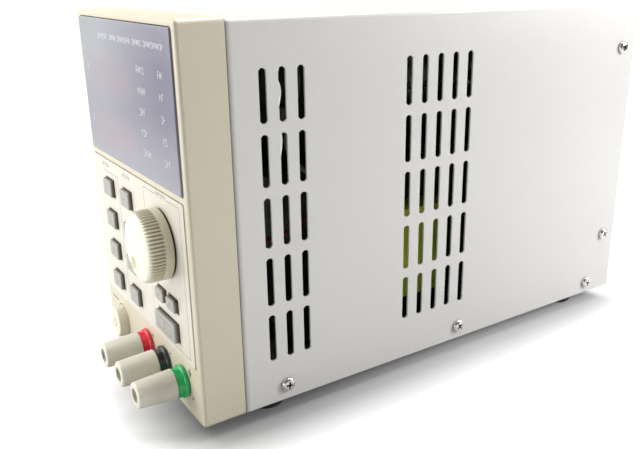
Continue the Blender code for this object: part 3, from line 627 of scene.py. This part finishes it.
def wire(name, points, radius, look):
    """A lead of the case through its bend points."""
    curve = bpy.data.curves.new(name, "CURVE")
    curve.dimensions = "3D"
    curve.bevel_depth, curve.bevel_resolution = radius, 3
    curve.use_fill_caps = True
    spline = curve.splines.new("BEZIER")
    spline.resolution_u = 10
    spline.bezier_points.add(len(points) - 1)
    for handle, point in zip(spline.bezier_points, points):
        handle.co = point
        handle.handle_left_type = handle.handle_right_type = "AUTO"
    obj = bpy.data.objects.new(name, curve)
    bpy.context.scene.collection.objects.link(obj)
    curve.materials.append(LOOKS[look])
    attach(obj, "case")


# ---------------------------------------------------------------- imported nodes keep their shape

for node, obj in NODES.items():
    obj.data.materials.clear()
    obj.data.materials.append(LOOKS[SLOT_OF[node]])
    shade(obj)


# ---------------------------------------------------------------- front controls

def make_knob():
    """Domed knob: ribs that fade into its shoulder, a finger dimple, and a dark ring behind it as
    painted shade.
    """
    low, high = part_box("adjust_knob")
    centre = Vector(((low.x + high.x) / 2, high.y, (low.z + high.z) / 2))
    height, ribs, rib_deep = high.y - low.y, 60, 0.72 * MM
    radius = (high.x - low.x) / 2 - 0.15 * MM
    shoulder_r, shoulder_h = 3.3 * MM, 2.6 * MM
    rib_low, rib_high = 3.3 * MM, height - 0.8 * MM
    rib_start, rib_end = 0.5 * MM, 1.3 * MM  # how far the ribs take to fade, below and above
    dimple_x, dimple_z, dimple_r, dimple_deep = -3.0 * MM, -7.6 * MM, 3.5 * MM, 2.1 * MM

    crown = 0.35 * MM  # the face rises this much towards its middle
    face_r, face_h = radius - shoulder_r, height - crown
    outer = [(face_r * i / 24, height - crown * (i / 24) ** 2) for i in range(24)]
    for i in range(13):  # the shoulder is a quarter of an ellipse
        turn = math.pi / 2 * i / 12
        drop = shoulder_h * (1 - math.cos(turn))
        outer.append((face_r + shoulder_r * math.sin(turn), face_h - drop))
    side_top, side_low = outer[-1][1], 1.3 * MM
    outer += [(radius, side_top + (side_low - side_top) * i / 20) for i in range(1, 21)]
    lip = 0.35 * MM
    back = rounded([
        (radius, side_low), (radius, lip, 0.3 * MM), (radius - 0.5 * MM, lip, 0.1 * MM),
        (radius - 0.7 * MM, 0), (radius - 1.2 * MM, 0),
    ])
    inside = [(radius - 1.2 * MM, 1.8 * MM)]
    inside += in_mm((5.2, 1.8), (5.2, 0), (3.3, 0), (3.3, 8.4), (0, 8.4))

    def shape(r, h, angle):
        if h > height - 2.2 * MM and r > 3.5 * MM:
            away = math.hypot(r * math.cos(angle) - dimple_x, r * math.sin(angle) - dimple_z)
            if away < dimple_r:
                h -= dimple_deep * (1 - (away / dimple_r) ** 3)
        fade = min(1, max(0, (h - rib_low) / rib_start)) * min(1, max(0, (rib_high - h) / rib_end))
        if r > radius - 2.4 * MM and fade > 0:
            r -= rib_deep * fade * (0.5 - 0.5 * math.cos(ribs * angle)) ** 1.3
        return r, h

    bm = revolve(outer + back[1:] + inside, centre, FRONT, steps=ribs * 8, reshape=shape)
    piece("ribbed_knob", bm, "knob_ivory", "knob", "adjust_knob")
    # Painted shade: a dark ring behind the skirt stands for the shade under it.
    rim, thick = radius - 0.35 * MM, 0.3 * MM
    shade_ring = rounded([
        (6.5 * MM, -thick), (rim, -thick, 0.1 * MM), (rim, 0, 0.1 * MM), (6.5 * MM, 0),
    ], closed=True)
    piece("knob_shade_ring", revolve(shade_ring, centre, FRONT, closed=True), "gap_shade_brown", "knob")


# Each mark's lines, in halves of its width and height from its middle.
GLYPHS = {
    "1": [[(-0.6, 0.55), (0.1, 1), (0.1, -1)]],
    "2": [[(-1, 0.6), (-0.5, 1), (0.5, 1), (1, 0.55), (0.8, 0.1), (-1, -1), (1, -1)]],
    "3": [[(-1, 1), (1, 1), (0, 0.15), (0.7, 0.05), (1, -0.4), (0.6, -0.95), (-0.5, -1),
           (-1, -0.7)]],
    "4": [[(0.5, -1), (0.5, 1), (-1, -0.35), (1, -0.35)]],
    "bar": [[(-1, 0), (1, 0)]],
    "two_bars": [[(-1, 0.4), (1, 0.4)], [(-1, -0.4), (1, -0.4)]],
    "left": [[(0.7, 0.6), (-0.7, 0), (0.7, -0.6), (0.7, 0.6)]],
    "right": [[(-0.7, 0.6), (0.7, 0), (-0.7, -0.6), (-0.7, 0.6)]],
    "plus": [[(-1, 0), (1, 0)], [(0, -0.6), (0, 0.6)]],
    "ground": [[(0, 0.8), (0, 0)], [(-1.2, 0), (1.2, 0)], [(-0.8, -0.35), (0.8, -0.35)],
               [(-0.4, -0.7), (0.4, -0.7)]],
    "ring": [
        [(1.1 * math.sin(math.radians(a)), 0.66 * math.cos(math.radians(a)))
         for a in range(30, 331, 20)],
        [(0, 1.0), (0, 0.3)],
    ],
}


def glyph(kind, x, y, z, size):
    """Stroke lines, on the plane y, of a generic mark centred on (x, z)."""
    w, h = 0.30 * size, 0.5 * size
    return [[(x + u * w, y, z + v * h) for u, v in line] for line in GLYPHS[kind]]


def rectangle(low_x, low_z, high_x, high_z):
    return (low_x, low_z), (high_x, low_z), (high_x, high_z), (low_x, high_z)


def make_keys():
    """Soft-edged keycaps with a printed mark each. A flange behind the panel keeps each one in."""
    marks = {
        "left_arrow_key": "left", "right_arrow_key": "right", "output_key": "two_bars",
        "memory_key_1": "1", "memory_key_2": "2", "memory_key_3": "3", "memory_key_4": "4",
        "function_key_1": "bar", "function_key_2": "two_bars", "function_key_3": "ring",
        "function_key_4": "bar",
    }
    flange, stem = 1.0 * MM, 1.2 * MM
    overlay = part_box("control_overlay")[0].y - 0.004 * MM
    # Painted shade: a dark strip round each key stands for the shade in its gap.
    gap_middle, gap_width = 0.24 * MM, 0.40 * MM  # the dark gap round a key, drawn as a strip
    gaps = []
    for node, mark in marks.items():
        low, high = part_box(node)
        body = BODY_OF[node]
        cap_low = Vector((low.x + flange, low.y, low.z + flange))
        cap_high = Vector((high.x - flange, high.y - 1.5 * MM, high.z - flange))
        corner = 1.5 * MM if "arrow" in node else 0.9 * MM
        bm = soft_box(cap_low, cap_high, corner, 0.7 * MM, steps=5)
        for vert in bm.verts:  # the sides draw in a little towards the face
            towards = (cap_high.y - vert.co.y) / (cap_high.y - cap_low.y)
            for axis in (0, 2):
                mid = (cap_low[axis] + cap_high[axis]) / 2
                vert.co[axis] = mid + (vert.co[axis] - mid) * (0.995 - 0.02 * towards)
        cuboid(bm, (low.x, high.y - 1.7 * MM, low.z), (high.x, high.y - 0.7 * MM, high.z))
        mid = (low + high) / 2
        cuboid(bm, (mid.x - stem, high.y - 0.9 * MM, mid.z - stem),
               (mid.x + stem, high.y, mid.z + stem))
        piece(f"{node}_cap", bm, "key_grey", body, node)

        size = 2.2 * MM if "arrow" in node else 2.9 * MM
        print_y = low.y - PRINT_GAP
        if node == "output_key":
            size = 5.0 * MM
        lines = glyph(mark, mid.x, print_y, mid.z, size)
        if node == "output_key":
            w, h = 6.4 * MM, 2.5 * MM
            box = rectangle(mid.x - w, mid.z - h, mid.x + w, mid.z + h)
            lines.append([(x, print_y, z) for x, z in box + box[:1]])
        strokes(f"{node}_mark", lines, 0.36 * MM, "dark_ink", body)
        box = rectangle(cap_low.x - gap_middle, cap_low.z - gap_middle,
                        cap_high.x + gap_middle, cap_high.z + gap_middle)
        gaps.append([(x, overlay, z) for x, z in box + box[:1]])
    strokes("key_gaps", gaps, gap_width, "gap_shade_brown", "case")


def make_power_button():
    """Round button on a skirt, with the common power sign printed on its face."""
    low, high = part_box("power_button")
    face_stands_out = 4.5 * MM
    centre = Vector(((low.x + high.x) / 2, low.y + face_stands_out, (low.z + high.z) / 2))
    profile = rounded(in_mm(
        (0, 4.2), (5.6, 4.25, 3), (6.6, 4.5, 0.5), (7.2, 4.1, 0.6), (7.5, -3.0),
        (8.2, -3.0), (8.2, -4.0), (2, -4.0), (2, -9), (0, -9),
    ))
    bm = revolve(profile, centre, FRONT)
    piece("power_button_cap", bm, "button_ivory", "power_button", "power_button")
    dish = 0.27 * MM  # the print lies this far behind the rim
    mark = glyph("ring", centre.x, low.y + dish, centre.z, 5 * MM)
    strokes("power_button_mark", mark, 0.4 * MM, "grey_ink", "power_button")


def make_posts():
    """Turned collars, screw caps, hollow studs and clamp rings of the binding posts."""
    collar_neck = 2.8 * MM  # how far the collar reaches in behind the bezel's front face
    for colour in ("red", "black", "green"):
        low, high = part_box(f"{colour}_post_cap")
        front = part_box(f"{colour}_post_collar")[1].y - collar_neck
        centre = Vector(((low.x + high.x) / 2, front, (low.z + high.z) / 2))
        reach = front - low.y
        collar = rounded(in_mm(
            (3.0, 4.5), (5.95, 4.5, 0.3), (6.15, 1.7, 0.4), (6.7, 1.5, 0.3),
            (6.7, 0.3, 0.15), (4.2, 0.3), (4.2, -2.8), (3.0, -2.8),
        ), closed=True)
        cap = rounded([
            (3.0 * MM, reach, 0.15 * MM), (5.2 * MM, reach, 0.9 * MM),
            (6.1 * MM, 4.62 * MM, 0.25 * MM), (4.9 * MM, 4.62 * MM),
            (4.9 * MM, 6.3 * MM), (3.0 * MM, 6.3 * MM),
        ], closed=True)
        stud = rounded(in_mm(
            (0, -2), (2.05, -2), (2.05, 16.5, 0.1), (2.7, 16.5, 0.3), (2.7, -3.2),
            (5.0, -3.2, 0.3), (5.0, -6.0, 0.3), (2.7, -6.0), (2.7, -14, 0.4), (0, -14),
        ))
        ring = rounded(in_mm(
            (3.0, 6.0, 0.1), (4.6, 6.0, 0.2), (4.6, 4.7, 0.2), (3.0, 4.7, 0.1),
        ), closed=True)
        post = f"{colour}_post"
        for name, outline, steps, closed, look, node, body in (
            ("collar_ring", collar, 96, True, f"{colour}_gloss", f"{post}_collar", "case"),
            ("screw_cap", cap, 96, True, "cap_beige", f"{post}_cap", f"{post}_cap"),
            ("socket_stud", stud, 64, False, "nickel", f"{post}_stud", "case"),
            ("washer", ring, 64, True, "nickel", f"{post}_clamp_ring", f"{post}_clamp_ring"),
        ):
            bm = revolve(outline, centre, FRONT, steps, closed)
            piece(f"{colour}_{name}", bm, look, body, node)


def make_screws():
    """Domed pan heads with a tapered cross recess, each turned its own way."""
    head_height = 1.8 * MM
    # Height over the seat, half length and half width of the recess's arms, at top and bottom.
    arm_top, arm_bottom = in_mm((2.2, 1.95, 0.40), (0.5, 0.75, 0.30))
    for node in [n for n in NODES if "cover_screw" in n]:
        low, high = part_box(node)
        right = low.x > 0
        outward = RIGHT if right else LEFT
        seat = (high.x - head_height) if right else (low.x + head_height)
        centre = Vector((seat, (low.y + high.y) / 2, (low.z + high.z) / 2))
        profile = rounded(in_mm(
            (0, 1.8), (2.0, 1.72, 4), (2.9, 1.15, 0.9), (3.0, 0.1, 0.12),
            (1.4, 0.1), (1.4, -5.4), (0.9, -6.0), (0, -6.0),
        ))
        bm = revolve(profile, centre, outward, steps=48)
        screw = piece(f"{node}_head", bm, "nickel", "case", node)
        tilt = math.radians(18 + 41 * int(node[-1]) + (25 if right else 0))
        across, up = side_axes(outward)
        cross = bmesh.new()
        for turn in (tilt, tilt + math.pi / 2):
            along = across * math.cos(turn) + up * math.sin(turn)
            beside = along.cross(outward)
            top, bottom = [], []
            for a, b in ((-1, -1), (1, -1), (1, 1), (-1, 1)):
                for ring, (height, long, wide) in ((top, arm_top), (bottom, arm_bottom)):
                    spot = centre + outward * height + along * (a * long) + beside * (b * wide)
                    ring.append(cross.verts.new(spot))
            cross.faces.new(top)
            cross.faces.new(bottom[::-1])
            for i in range(4):
                j = (i + 1) % 4
                cross.faces.new((top[i], bottom[i], bottom[j], top[j]))
        carve(screw, cross)


def make_seam_shade_ring():
    """A black ring in the gap between the bezel and the cover: painted shade that darkens the seam.
    """
    low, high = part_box("top_cover")
    bezel_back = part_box("front_bezel")[1].y
    inset, thick, clear = 0.5 * MM, 1.6 * MM, 0.03 * MM
    middle_z = 0.05  # any height between the ring's bottom and top
    y0, y1 = bezel_back + clear, low.y - clear
    outer = rectangle(low.x + inset, low.z + inset, high.x - inset, high.z - inset)
    inner = [
        (x - math.copysign(thick, x), z + (thick if z < middle_z else -thick)) for x, z in outer
    ]
    bm = bmesh.new()
    rings = [
        [bm.verts.new((x, y, z)) for x, z in ring]
        for ring, y in ((outer, y0), (outer, y1), (inner, y1), (inner, y0))
    ]
    for first, second in zip(rings, rings[1:] + rings[:1]):
        for i in range(4):
            j = (i + 1) % 4
            bm.faces.new((first[i], first[j], second[j], second[i]))
    piece("seam_shade_ring", bm, "rubber", "case", smooth=False)


def make_feet():
    """Moulded feet, each with a screw in its recess."""
    for node in [n for n in NODES if n.endswith("_foot")]:
        low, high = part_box(node)
        centre = Vector(((low.x + high.x) / 2, (low.y + high.y) / 2, low.z))
        r, h = (high.x - low.x) / 2, high.z - low.z
        profile = rounded([
            (0, -h), (r, -h, 0.3 * MM), (0.82 * r, 0, 0.9 * MM), (3.6 * MM, 0, 0.4 * MM),
            (3.4 * MM, -2.5 * MM, 0.2 * MM), (0, -2.5 * MM),
        ])
        piece(f"{node}_pad", revolve(profile, centre, DOWN, steps=72), "rubber", "case", node)
        head = rounded(in_mm(
            (0, -1.0), (1.5, -1.05, 1), (2.6, -1.7, 0.4), (2.6, -2.45), (0, -2.45),
        ))
        piece(f"{node}_screw", revolve(head, centre, DOWN, steps=40), "zinc_steel", "case")


# ---------------------------------------------------------------- front prints and display

SEGMENTS = (  # where each of a digit's seven segments starts and ends, in halves of its size
    (-1, 1, 1, 1), (-1, 0, 1, 0), (-1, -1, 1, -1), (-1, 0, -1, 1),
    (1, 0, 1, 1), (-1, -1, -1, 0), (1, -1, 1, 0),
)


def make_display():
    """Seven-segment digits on the two modules, unlit."""
    digits, lean, trim = 4, 0.10, 0.14  # trim is the share cut off where segments meet
    for node in DIGIT_MODULES:
        low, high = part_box(node)
        face = low.y - 0.02 * MM
        pitch = (high.x - low.x) / digits
        tall, wide = 0.68 * (high.z - low.z), 0.52 * pitch
        cz = (low.z + high.z) / 2
        lines = []
        for i in range(digits):
            cx = low.x + pitch * (i + 0.48)
            for u0, v0, u1, v1 in SEGMENTS:
                du, dv = (u1 - u0) * trim / 2, (v1 - v0) * trim
                lines.append([
                    (cx + u * wide / 2 + lean * v * tall / 2, face, cz + v * tall / 2)
                    for u, v in ((u0 + du, v0 + dv), (u1 - du, v1 - dv))
                ])
            dot = (cx + 0.78 * wide, face, cz - tall / 2)
            lines.append([dot, (dot[0] + 0.1 * MM, face, dot[2])])
        strokes(f"{node}_segments", lines, 1.5 * MM, "segment_pink", "case", lift=0.06 * MM)


# Abstract marks, in widths to the right and halves of the height from the middle.
TICKS = (
    [[(0, -1), (0, 1)], [(0, 0), (1, 0)], [(1, -1), (1, 1)]],
    [[(0, 1), (1, 1), (1, -1), (0, -1)]],
    [[(0, -1), (0, 1), (1, 1)], [(0, 0), (0.8, 0)]],
    [[(0, 1), (0.5, -1), (1, 1)]],
    [[(0, -1), (0, 1), (1, 0.3), (0, -0.1)]],
)


def tick_marks(x_mm, z_mm, count, height_mm, face, case_bottom):
    """A row of small abstract marks that stands for a printed label."""
    pitch, wide, tall = 0.86 * height_mm, 0.52 * height_mm, height_mm / 2
    lines = []
    for i in range(count):
        for line in TICKS[(3 * i + int(z_mm)) % len(TICKS)]:
            lines.append([
                ((x_mm + pitch * i + wide * u) * MM, face, case_bottom + (z_mm + tall * v) * MM)
                for u, v in line
            ])
    return lines


def make_prints():
    """Printed frames and marks on the overlay and the window, and the signs beside the posts."""
    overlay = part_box("control_overlay")[0]
    case_bottom = overlay.z - 24.0 * MM  # all prints are laid out in mm from here

    def lines_at(face, *lines):
        return [[(x * MM, face, case_bottom + z * MM) for x, z in line] for line in lines]

    face = overlay.y - PRINT_GAP
    frame_lines = lines_at(
        face,
        ((24, 86.5), (11.5, 86.5), (11.5, 26.4), (47.3, 26.4), (47.3, 86.5), (36, 86.5)),
        ((-38, 83), (-20.3, 83), (-20.3, 29)),
    )
    strokes("overlay_frame_lines", frame_lines, 0.32 * MM, "grey_ink", "case")
    headings = []
    for x, z, count in ((25, 87.0, 7), (-39, 85.8, 6), (-13, 85.8, 6)):
        headings += tick_marks(x, z, count, 1.7, face, case_bottom)
    strokes("overlay_headings", headings, 0.3 * MM, "grey_ink", "case")

    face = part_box("display_window")[0].y - PRINT_GAP
    labels = []
    for x, counts in ((17.8, (4, 4, 3, 3, 4)), (39.0, (2, 2, 2, 2, 3))):
        for row, count in enumerate(counts):
            labels += tick_marks(x, 132.0 - 7.7 * row, count, 2.3, face, case_bottom)
    for z in (127.7, 106.1):
        labels += tick_marks(-43.5, z, 1, 2.3, face, case_bottom)
    for x, count in ((-25, 8), (-10, 5), (-0.5, 9), (16, 6), (27.5, 12)):
        labels += tick_marks(x, 141.6, count, 1.8, face, case_bottom)
    strokes("window_labels", labels, 0.48 * MM, "pale_ink", "case")

    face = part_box("front_bezel")[0].y - PRINT_GAP
    signs = []
    for kind, x, z, size in (
        ("plus", 5.0, 19.0, 3.4), ("bar", 24.2, 19.0, 3.4),
        ("ground", 44.0, 19.6, 4.6), ("plus", 45.6, 9.0, 2.8),
    ):
        signs += glyph(kind, x * MM, face, case_bottom + z * MM, size * MM)
    signs += lines_at(face, ((-48, 19.0), (-39.5, 19.0)), ((-45.3, 13.8), (-45.1, 13.8)))
    strokes("front_signs", signs, 0.75 * MM, "dark_ink", "case")


# ---------------------------------------------------------------- inside, behind the slots

CARD_PARTS = (  # place along and up the card, as shares, then width, height and depth in mm
    (0.30, 0.42, 14, 12, 7), (0.62, 0.30, 18, 8, 5), (0.66, 0.68, 9, 22, 10),
    (0.30, 0.80, 10, 7, 4),
)
# The leads' bends, in mm behind the bezel's front face and above the case's bottom.
WHITE_BENDS = (
    (36.6, 146), (36.7, 139), (35.6, 134.5), (36.9, 130), (36.4, 126), (35.2, 121),
    (36.8, 112), (36.0, 106), (34.0, 96),
)
RED_BENDS = ((24, 67), (37, 70.5), (44.9, 71.8), (52.7, 75), (60, 80), (72, 84))
GREY_BENDS = ((52, 142), (54, 128), (50, 117), (49, 104), (60, 92), (78, 84))


def make_interior():
    """A black card on edge above the transformer that stands for the shade inside, its parts, the
    coil's wrap and some leads.
    """
    core_low, core_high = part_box("transformer_core")
    card_low = Vector((core_low.x - 3 * MM, core_low.y - 6 * MM, core_high.z - 13 * MM))
    card_high = Vector((core_low.x - 1.4 * MM, core_high.y - 4 * MM, core_high.z + 64 * MM))
    # Painted shade: the black card keeps the inside dark behind the slots.
    bm = soft_box(card_low, card_high, 1.0 * MM, 0, axis=0)
    piece("shade_card", bm, "black_plastic", "case")
    bm = bmesh.new()
    face = card_high.x - 0.1 * MM
    size = card_high - card_low
    for y, z, width, tall, deep in CARD_PARTS:
        cy, cz = card_low.y + size.y * y, card_low.z + size.z * z
        cuboid(bm, (face, cy - width * MM / 2, cz - tall * MM / 2),
               (face + deep * MM, cy + width * MM / 2, cz + tall * MM / 2))
    piece("card_parts", bm, "wire_grey", "case")

    low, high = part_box("transformer_coil")
    wrap_low = Vector((low.x, low.y - 1.0 * MM, low.z))
    wrap_high = Vector((high.x, high.y + 4.0 * MM, high.z))
    bm = soft_box(wrap_low, wrap_high, 3.5 * MM, 0, axis=2)
    piece("coil_wrap", bm, "coil_tape", "case", "transformer_coil")

    slot_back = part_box("top_cover")[1].x - 2.6 * MM
    case_bottom = core_low.z - 7.3 * MM
    for colour, depth, bends, radius in (
        ("white", -0.8, [(y + 1.6, z) for y, z in WHITE_BENDS], 0.75),
        ("red", 9, RED_BENDS, 0.9),
        ("grey", 12, GREY_BENDS, 1.1),
    ):
        points = [
            (slot_back - depth * MM, BEZEL_FACE + y * MM, case_bottom + z * MM) for y, z in bends
        ]
        wire(f"{colour}_lead", points, radius * MM, f"wire_{colour}")


make_interior()
make_knob()
make_keys()
make_power_button()
make_posts()
make_screws()
make_seam_shade_ring()
make_feet()
make_display()
make_prints()


# ---------------------------------------------------------------- stage, light and camera

def make_floor():
    """A pale floor, burnt out to white for the camera except near the supply, as in the photo."""
    half_side = 6
    dim_middle, dim_within, white_beyond, dim_strength = (0.06, 0.02, 0), 0.125, 0.185, 0.06
    mesh = bpy.data.meshes.new("floor")
    bm = bmesh.new()
    bmesh.ops.create_grid(bm, x_segments=1, y_segments=1, size=half_side)
    bm.to_mesh(mesh)
    bm.free()
    floor = bpy.data.objects.new("floor", mesh)
    bpy.context.scene.collection.objects.link(floor)

    look = Look("floor_white", (0.52, 0.52, 0.52), 0.7)
    # Painted shadow round the supply: the floor darkens where little light reaches, deeper towards
    # its front.
    light_shade, deep_shade = look.rgb((0.88, 0.88, 0.88)), look.rgb((0.22, 0.22, 0.225))
    shade_colour = look.mix(look.along("Y", 0.02, -0.085), light_shade, deep_shade)
    look.grain(0.3, 0.02).crevices(42 * MM, shade_colour)

    glow = look.node("ShaderNodeEmission")
    away = look.node("ShaderNodeVectorMath", operation="DISTANCE")
    away.inputs[1].default_value = dim_middle
    look.link(look.place, away.inputs[0])
    far = look.between(away.outputs["Value"], dim_within, white_beyond, dim_strength, 1.0)
    seen = look.node("ShaderNodeLightPath").outputs["Is Camera Ray"]
    bright = look.node("ShaderNodeMath", operation="MAXIMUM")
    look.link(far, bright.inputs[0])
    look.link(look.along("X", 0.058, 0.105), bright.inputs[1])  # white sooner at its right side
    look.link(look.both(seen, bright.outputs[0]), glow.inputs["Strength"])
    lit = look.node("ShaderNodeAddShader")
    look.link(look.shader.outputs[0], lit.inputs[0])
    look.link(glow.outputs[0], lit.inputs[1])

    one_sided = look.node("ShaderNodeMixShader")  # from below the floor can be seen through
    look.link(look.node("ShaderNodeNewGeometry").outputs["Backfacing"], one_sided.inputs[0])
    look.link(lit.outputs[0], one_sided.inputs[1])
    look.link(look.node("ShaderNodeBsdfTransparent").outputs[0], one_sided.inputs[2])
    look.show(one_sided.outputs[0])
    floor.data.materials.append(look.material)


def area_light(name, place, target, size, power, colour=(1, 1, 1)):
    data = bpy.data.lights.new(name, "AREA")
    data.shape, data.size, data.size_y = "RECTANGLE", size[0], size[1]
    data.energy, data.color = power, colour
    light = bpy.data.objects.new(name, data)
    light.location = place
    light.rotation_euler = (Vector(target) - Vector(place)).to_track_quat("-Z", "Y").to_euler()
    light.visible_camera = False
    bpy.context.scene.collection.objects.link(light)


def make_lights():
    """Soft boxes: place, target, size in metres, power in watts, and colour."""
    area_light("key", (-0.26, -0.46, 0.25), (0, -0.11, 0.07), (0.5, 0.5), 2.2, (1.0, 0.985, 0.95))
    area_light("upper_left", (-0.15, -0.29, 0.28), (-0.03, -0.11, 0.13), (0.12, 0.12), 0.36,
               (1.0, 0.99, 0.97))
    area_light("fill", (0.06, -0.50, 0.06), (0.02, -0.11, 0.01), (0.3, 0.1), 0.50)
    area_light("top", (-0.22, 0.30, 1.1), (0, 0, 0.1), (1.0, 1.0), 23.5)
    area_light("rear_side", (0.37, 0.46, 0.29), (0.05, 0.10, 0.11), (0.25, 0.25), 3.65)


def make_world():
    """White to the camera, and a dimmer even light on everything else."""
    light_strength, seen_strength = 0.195, 1.0
    world = bpy.data.worlds.new("studio")
    bpy.context.scene.world = world
    world.use_nodes = True
    tree = world.node_tree
    back = tree.nodes["Background"]
    path = tree.nodes.new("ShaderNodeLightPath")
    strength = tree.nodes.new("ShaderNodeMapRange")
    strength.inputs["To Min"].default_value = light_strength
    strength.inputs["To Max"].default_value = seen_strength
    tree.links.new(path.outputs["Is Camera Ray"], strength.inputs["Value"])
    tree.links.new(strength.outputs[0], back.inputs["Strength"])
    back.inputs["Color"].default_value = (1, 1, 1, 1)


def make_camera():
    """The photographer's place, worked out from the case's corners: lens, bearing and shift."""
    azimuth, elevation, roll = (math.radians(a) for a in (56.155, 18.528, -0.553))
    place = Vector((0.28348, -0.20144, 0.16863))
    level = math.cos(elevation)
    back = Vector((math.sin(azimuth) * level, -math.cos(azimuth) * level, math.sin(elevation)))
    right = Vector((math.cos(azimuth), math.sin(azimuth), 0))
    up = back.cross(right)
    right, up = (
        right * math.cos(roll) + up * math.sin(roll),
        up * math.cos(roll) - right * math.sin(roll),
    )
    data = bpy.data.cameras.new("camera")
    data.sensor_width, data.lens = 36, 41.46
    data.shift_x, data.shift_y = -0.0283, -0.0036
    data.clip_start, data.clip_end = 0.01, 20
    camera = bpy.data.objects.new("camera", data)
    turned = Matrix((right, up, back)).transposed().to_4x4()
    camera.matrix_world = Matrix.Translation(place) @ turned
    bpy.context.scene.collection.objects.link(camera)
    bpy.context.scene.camera = camera


make_floor()
make_world()
make_lights()
make_camera()
bpy.context.scene.view_settings.view_transform = "Standard"
